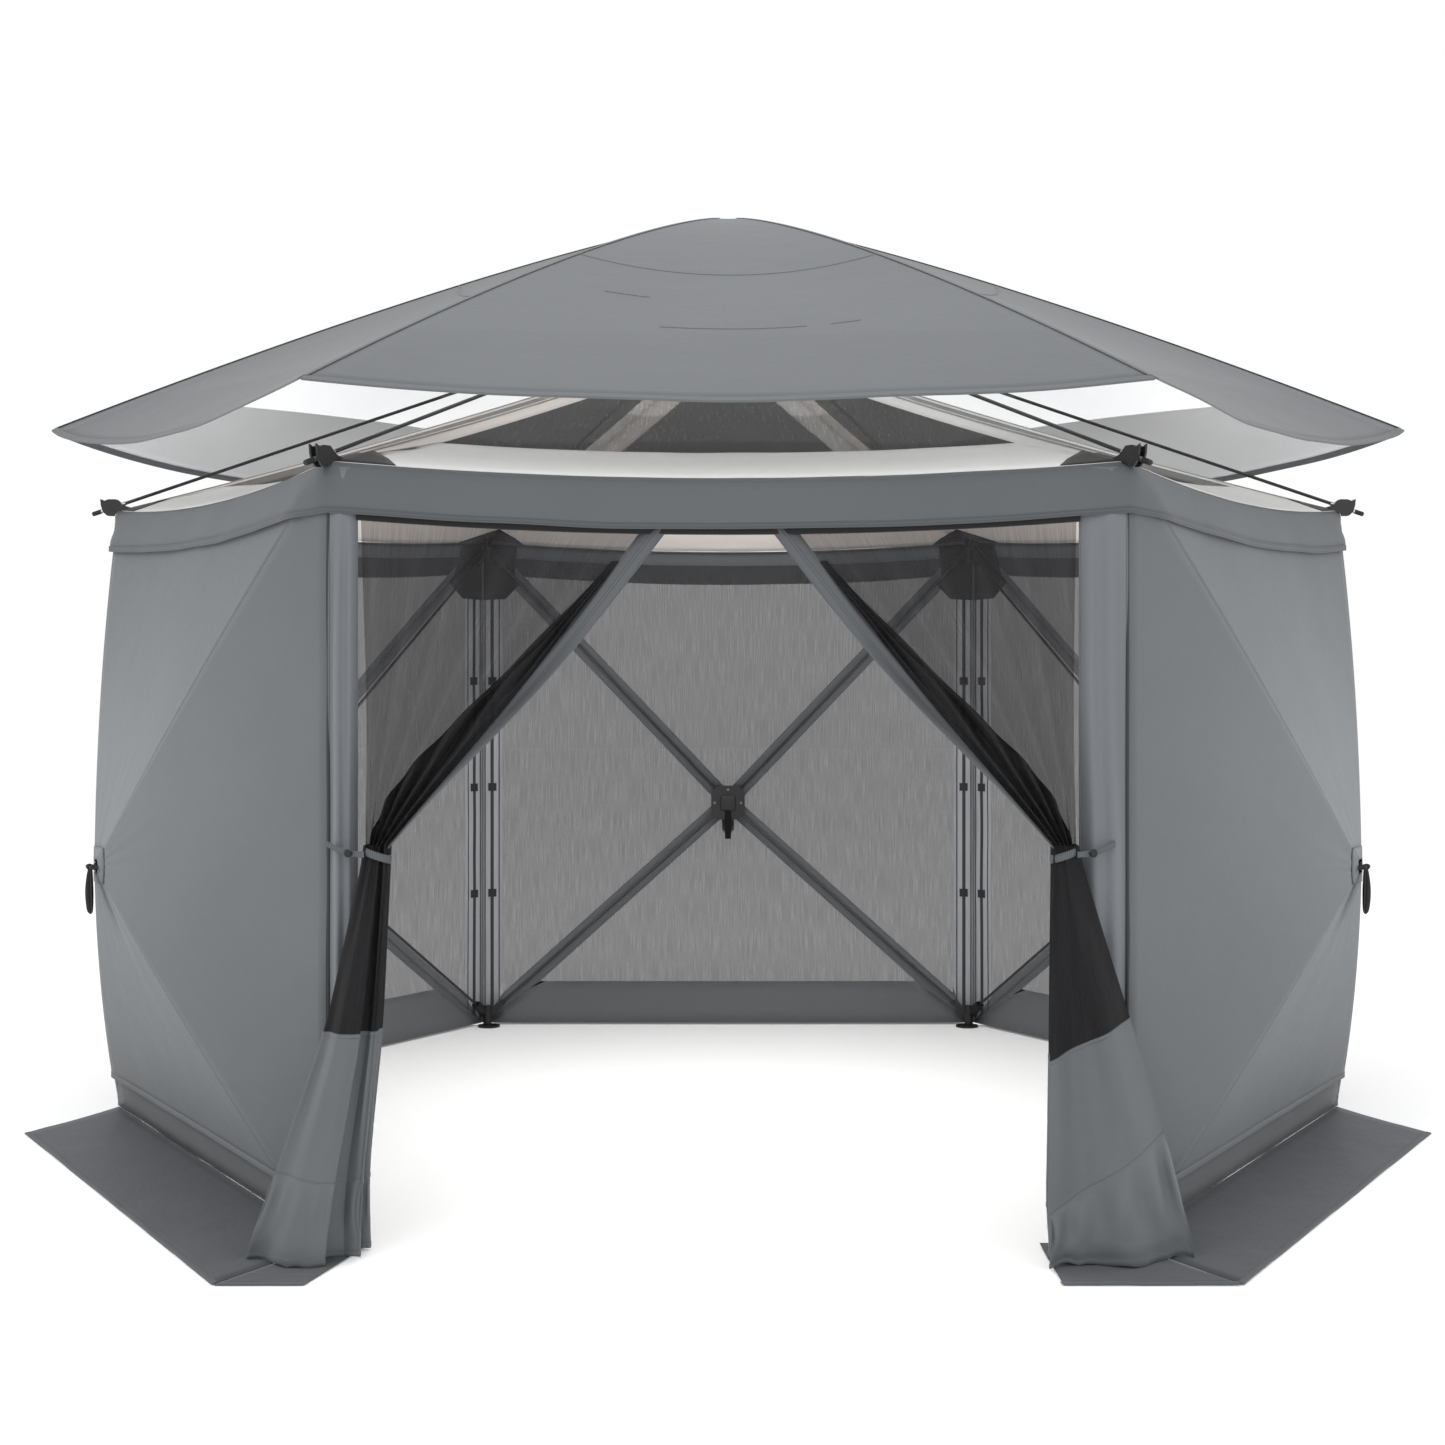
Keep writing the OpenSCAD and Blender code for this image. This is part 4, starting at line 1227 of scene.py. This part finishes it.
def tie_back(name, x):
    """Webbing round the gathered leaf, a strap to the jamb, and the toggle that holds them."""
    node = "tie_back_" + name
    centre = Vector((x * TIE_X[name], -APOTHEM - TIE_OUT, TIE_Z + 0.008))
    radius_x, radius_y, height = 0.029, 0.026, 0.018
    rows = []
    for j in range(5):
        v = j / 4
        bulge = 0.0015 * math.sin(math.pi * v)
        row = []
        for a in circle(40):
            out, ahead = (radius_x + bulge) * math.cos(a), (radius_y + bulge) * math.sin(a)
            ring = Vector((out, ahead, height * (v - 0.5) + 0.010 * math.cos(a) * x))
            row.append((centre + ring, (v * height, a * 0.028, 0)))
        rows.append(row)
    piece = Piece(node + "_loop")
    piece.patch(rows, wrap=True)
    loop = carry(piece.object([GREY_WEBBING], thick=0.0018), "tent")
    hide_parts(node)
    path = []
    for i in range(21):
        f = i / 20
        z = lerp(0.002, 0.024, f) - 0.006 * math.sin(math.pi * f)
        path.append(centre + Vector((x * lerp(0.026, 0.115, f), lerp(-0.022, 0.010, f ** 1.4), z)))
    carry(strip(node + "_strap", path, UP, FORWARD, 0.014, 0.0022, GREY_WEBBING), "tent")
    profile = [(0.0, 0.0), (0.0062, 0.0010), (0.0088, 0.0045), (0.0092, 0.0090), (0.0070, 0.0130),
               (0.0, 0.0148)]
    knob = turned(node + "_toggle", path[8] + FORWARD * 0.001, FORWARD, profile, RUBBER)
    carry(knob, "tent")


# ---------------------------------------------------------------- hardware
def roof_pole_fittings():
    """The ferrules on both sides of each corner cup, and the roof poles' rubber tips."""
    gap, length = 0.016, 0.021
    sleeve = [(0.0049, -0.0006), (0.0057, 0.0), (0.0060, 0.0012), (0.0059, 0.0060), (0.00565, 0.0068),
              (0.0059, 0.0076), (0.0059, 0.0190), (0.0060, 0.0200), (0.0057, length), (0.0049, 0.0214)]
    tip = [(0.0052, -0.001), (0.0064, 0.0), (0.0066, 0.002), (0.0062, 0.0035), (0.0066, 0.005), (0.0066, 0.023),
           (0.0060, 0.0262), (0.0040, 0.0280), (0.0, 0.0284)]
    for k in range(6):
        pivot = around(ROOF_PIVOT_R, 60 * k, ROOF_HUB_Z)
        cup = around(SIDE + CUP_OUT, 60 * k, EAVE + CUP_RISE)
        way = (cup - pivot).normalized()
        for name, profile, mat, after in (
            (f"roof_ferrule_{k + 1}_inner", sleeve, STEEL, -gap - length),
            (f"roof_ferrule_{k + 1}_outer", sleeve, STEEL, gap),
            (f"roof_tip_{k + 1}", tip, RUBBER, gap + length),
        ):
            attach(turned(name, cup + way * after, way, profile, mat), f"roof_pole_{k + 1}")


def hub_details(wall, k):
    """Cover plate, screws and the short inner strap on a wall hub's room side."""
    body = "hub_" + wall
    out, side = wall_out(k), wall_side(k)
    centre = wall_matrix(k) @ Vector((BULGE - HUB_IN - 0.0195, 0, HUB_Z))
    rows = []
    for r, h in ((1.0, 0.0), (1.0, 0.0025), (0.93, 0.0045), (0.55, 0.0060), (0.02, 0.0062)):
        row = []
        for a in circle(48):
            c, s = math.cos(a), math.sin(a)
            square = 0.030 / max(abs(c), abs(s)) ** 0.75
            row.append((centre + (side * c + UP * s) * square * r - out * h, (a * r * 0.03, h, 0)))
        rows.append(row)
    carry(wrapped(f"hub_plate_{wall}", rows, BLACK, 30), body)
    profile = [(0.0055, 0.0), (0.0055, 0.0014), (0.0042, 0.0024), (0.0018, 0.0024), (0.0016, 0.0012),
               (0.0, 0.0012)]
    for i, way in enumerate((UP, -side, -UP, side)):
        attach(turned(f"hub_screw_{wall}_{i + 1}", centre + way * 0.049, -out, profile, STEEL_DARK), body)
    path = []
    for i in range(15):
        f = i / 14
        path.append(centre - out * (0.007 + 0.010 * math.sin(math.pi * f)) - UP * (0.028 + 0.105 * f))
    carry(strip(f"inner_strap_{wall}", path, side, -out, 0.022, 0.0024, WEBBING), body)


def pull_strap(wall, k):
    """Padded handle that hangs from the pin outside a wall hub."""
    out, side = wall_out(k), wall_side(k)
    low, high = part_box("pull_strap_" + wall)
    length = high[2] - low[2] - 0.006
    pin = wall_matrix(k) @ Vector((BULGE + 0.016, 0, HUB_Z))
    rows, edges = [], ([], [])
    for i in range(41):
        f = min(0.998, i / 40)
        taper = (1 - max(0.0, (f - 0.86) / 0.14) ** 2.4) ** 0.5
        wide = 0.0205 * (0.55 + 0.45 * smooth_step(f, 0.05, 0.62)) * taper
        fat = 0.0090 * (0.45 + 0.55 * math.sin(math.pi * min(1.0, f * 1.02)) ** 0.6) * min(1.0, wide / 0.008)
        middle = pin - UP * (0.004 + (length - 0.004) * f) + out * 0.002 * math.sin(math.pi * f)
        row = []
        for a in circle(28):
            w = math.copysign(abs(math.cos(a)) ** 0.8, math.cos(a)) * wide
            h = math.copysign(abs(math.sin(a)) ** 0.9, math.sin(a)) * fat
            groove = 1 - 0.16 * math.exp(-((abs(w) - wide * 0.62) / 0.0012) ** 2)
            row.append((middle + side * w + out * h * groove, (w, length * f, 0)))
        rows.append(row)
        for edge, sign in zip(edges, (-1, 1)):
            edge.append(middle + side * sign * wide)
    pad = wrapped(f"strap_pad_{wall}", rows, WEBBING, 50)
    binding = tube(f"strap_binding_{wall}", edges[0] + edges[1][::-1], 0.0016, BLACK_CLOTH, 8)
    ring = [pin + (out * math.cos(a) + UP * math.sin(a)) * 0.0062 for a in circle(24) + [2 * math.pi]]
    ups = [(place - pin).normalized() for place in ring]
    loop = strip(f"strap_loop_{wall}", ring, side, ups, 0.020, 0.0018, WEBBING, closed=True)
    for piece in (pad, binding, loop):
        carry(piece, "strap_" + wall)
    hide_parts("pull_strap_" + wall)


def corner_piping():
    """Piping down the seam where two walls meet; beside the door it is painted dark as the shade in the gap between
    wall and jamb.
    """
    for k in range(6):
        path = []
        for i in range(41):
            z = lerp(WALL_TOP - 0.004, 0.010, i / 40)
            path.append(around(1.0, 60 * k) * (SIDE + 0.0005 + 0.0015 * wave_noise(z * 2, k * 3.0)) + UP * z)
        # painted shade: the piping beside the door is dark as the gap between wall and jamb
        mat = DARK_TAPE_AND_GAP_SHADE if k in (DOOR_WALL, DOOR_WALL + 1) else SEAM_GREY
        carry(tube(f"corner_piping_{k + 1}", path, 0.0045, mat, 10), "tent")


def dress_cad():
    """Finishes for the CAD parts that stay."""
    finishes = [(("roof_pole_", "pole_"), POLE),
                (("wall_hub_", "roof_hub", "corner_fittings", "ground_feet"), BLACK)]
    for node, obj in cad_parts.items():
        for starts, mat in finishes:
            if node.startswith(starts):
                for slot in obj.material_slots:
                    slot.material = mat
                if not obj.material_slots:
                    obj.data.materials.append(mat)


# ---------------------------------------------------------------- camera, light, floor
def camera():
    data = bpy.data.cameras.new("camera")
    data.sensor_width = 36.0
    data.lens = 55.0837
    data.shift_x = -0.0038
    data.shift_y = -0.0363
    data.clip_end = 100.0
    made = bpy.data.objects.new("camera", data)
    made.location = (0.0, -6.47, 1.284)
    made.rotation_euler = (math.radians(90), 0, 0)
    bpy.context.scene.collection.objects.link(made)
    bpy.context.scene.camera = made


def area_light(name, place, target, size, power):
    light = bpy.data.lights.new(name, "AREA")
    light.shape = "RECTANGLE"
    light.size, light.size_y = size
    light.energy = power
    obj = bpy.data.objects.new(name, light)
    obj.location = place
    obj.rotation_euler = (Vector(target) - Vector(place)).to_track_quat("-Z", "Y").to_euler()
    obj.visible_camera = False
    bpy.context.scene.collection.objects.link(obj)


def studio_light():
    """A white room with soft lights outside, inside and under the cover."""
    world = bpy.data.worlds.new("studio")
    bpy.context.scene.world = world
    world.use_nodes = True
    sky = world.node_tree.nodes["Background"]
    sky.inputs["Color"].default_value = (1.0, 1.0, 1.0, 1.0)
    sky.inputs["Strength"].default_value = 1.0
    bpy.context.scene.view_settings.view_transform = "Standard"
    area_light("key", (-3.5, -7.0, 6.5), (0, 0, 1.2), (5.0, 4.0), 150)
    area_light("fill", (5.5, -6.0, 3.5), (0, 0, 1.0), (5.0, 4.0), 70)
    area_light("top", (0, 0.5, 7.5), (0, 0, 0), (6.0, 6.0), 105)
    area_light("room_up", (0, -0.2, 0.9), (0, -0.2, 3.0), (2.0, 2.0), 26)
    area_light("room_down", (0, -0.1, 1.62), (0, -0.1, 0.0), (1.8, 1.8), 34)
    area_light("under_cover", (0, 0, 2.08), (0, 0, 3.0), (3.2, 3.2), 24)
    for wall in ("front_left", "front_right"):
        hub = wall_points(WALLS[wall])[2]
        beside = hub + Vector((math.copysign(0.80, hub.x), -0.10, 0.30))
        area_light("glow_" + wall, beside, hub, (0.5, 0.5), 5.5)


def floor():
    size, z = 30.0, -0.0006
    piece = Piece("floor")
    rows = [[(Vector((x * size, y * size, z)), (max(x, 0), max(y, 0), 0)) for x in (-1, 1)] for y in (-1, 1)]
    piece.patch(rows)
    piece.object([floor_material()], facing=UP)


# ---------------------------------------------------------------- build
camera()
studio_light()
floor()
dress_cad()
rain_cover()
canopy()
canopy_hanger()
valance()
for wall, k in WALLS.items():
    wall_netting(wall, k)
    hub_details(wall, k)
    pull_strap(wall, k)
for wall in ("back_right", "back", "back_left"):
    ridge_seams(wall, WALLS[wall])
    peak_patch(wall, WALLS[wall], 0.0022)
for wall, node in (("front_left", "wind_panel_left"), ("front_right", "wind_panel_right")):
    wind_panel(wall, WALLS[wall], node)
    peak_patch(wall, WALLS[wall], WIND_OUT + 0.0022)
corner_piping()
skirts()
door_track_shadow()
for name, x in (("left", -1), ("right", 1)):
    door_jamb(name, x)
    door_flap(name, x)
    tie_back(name, x)
roof_pole_fittings()
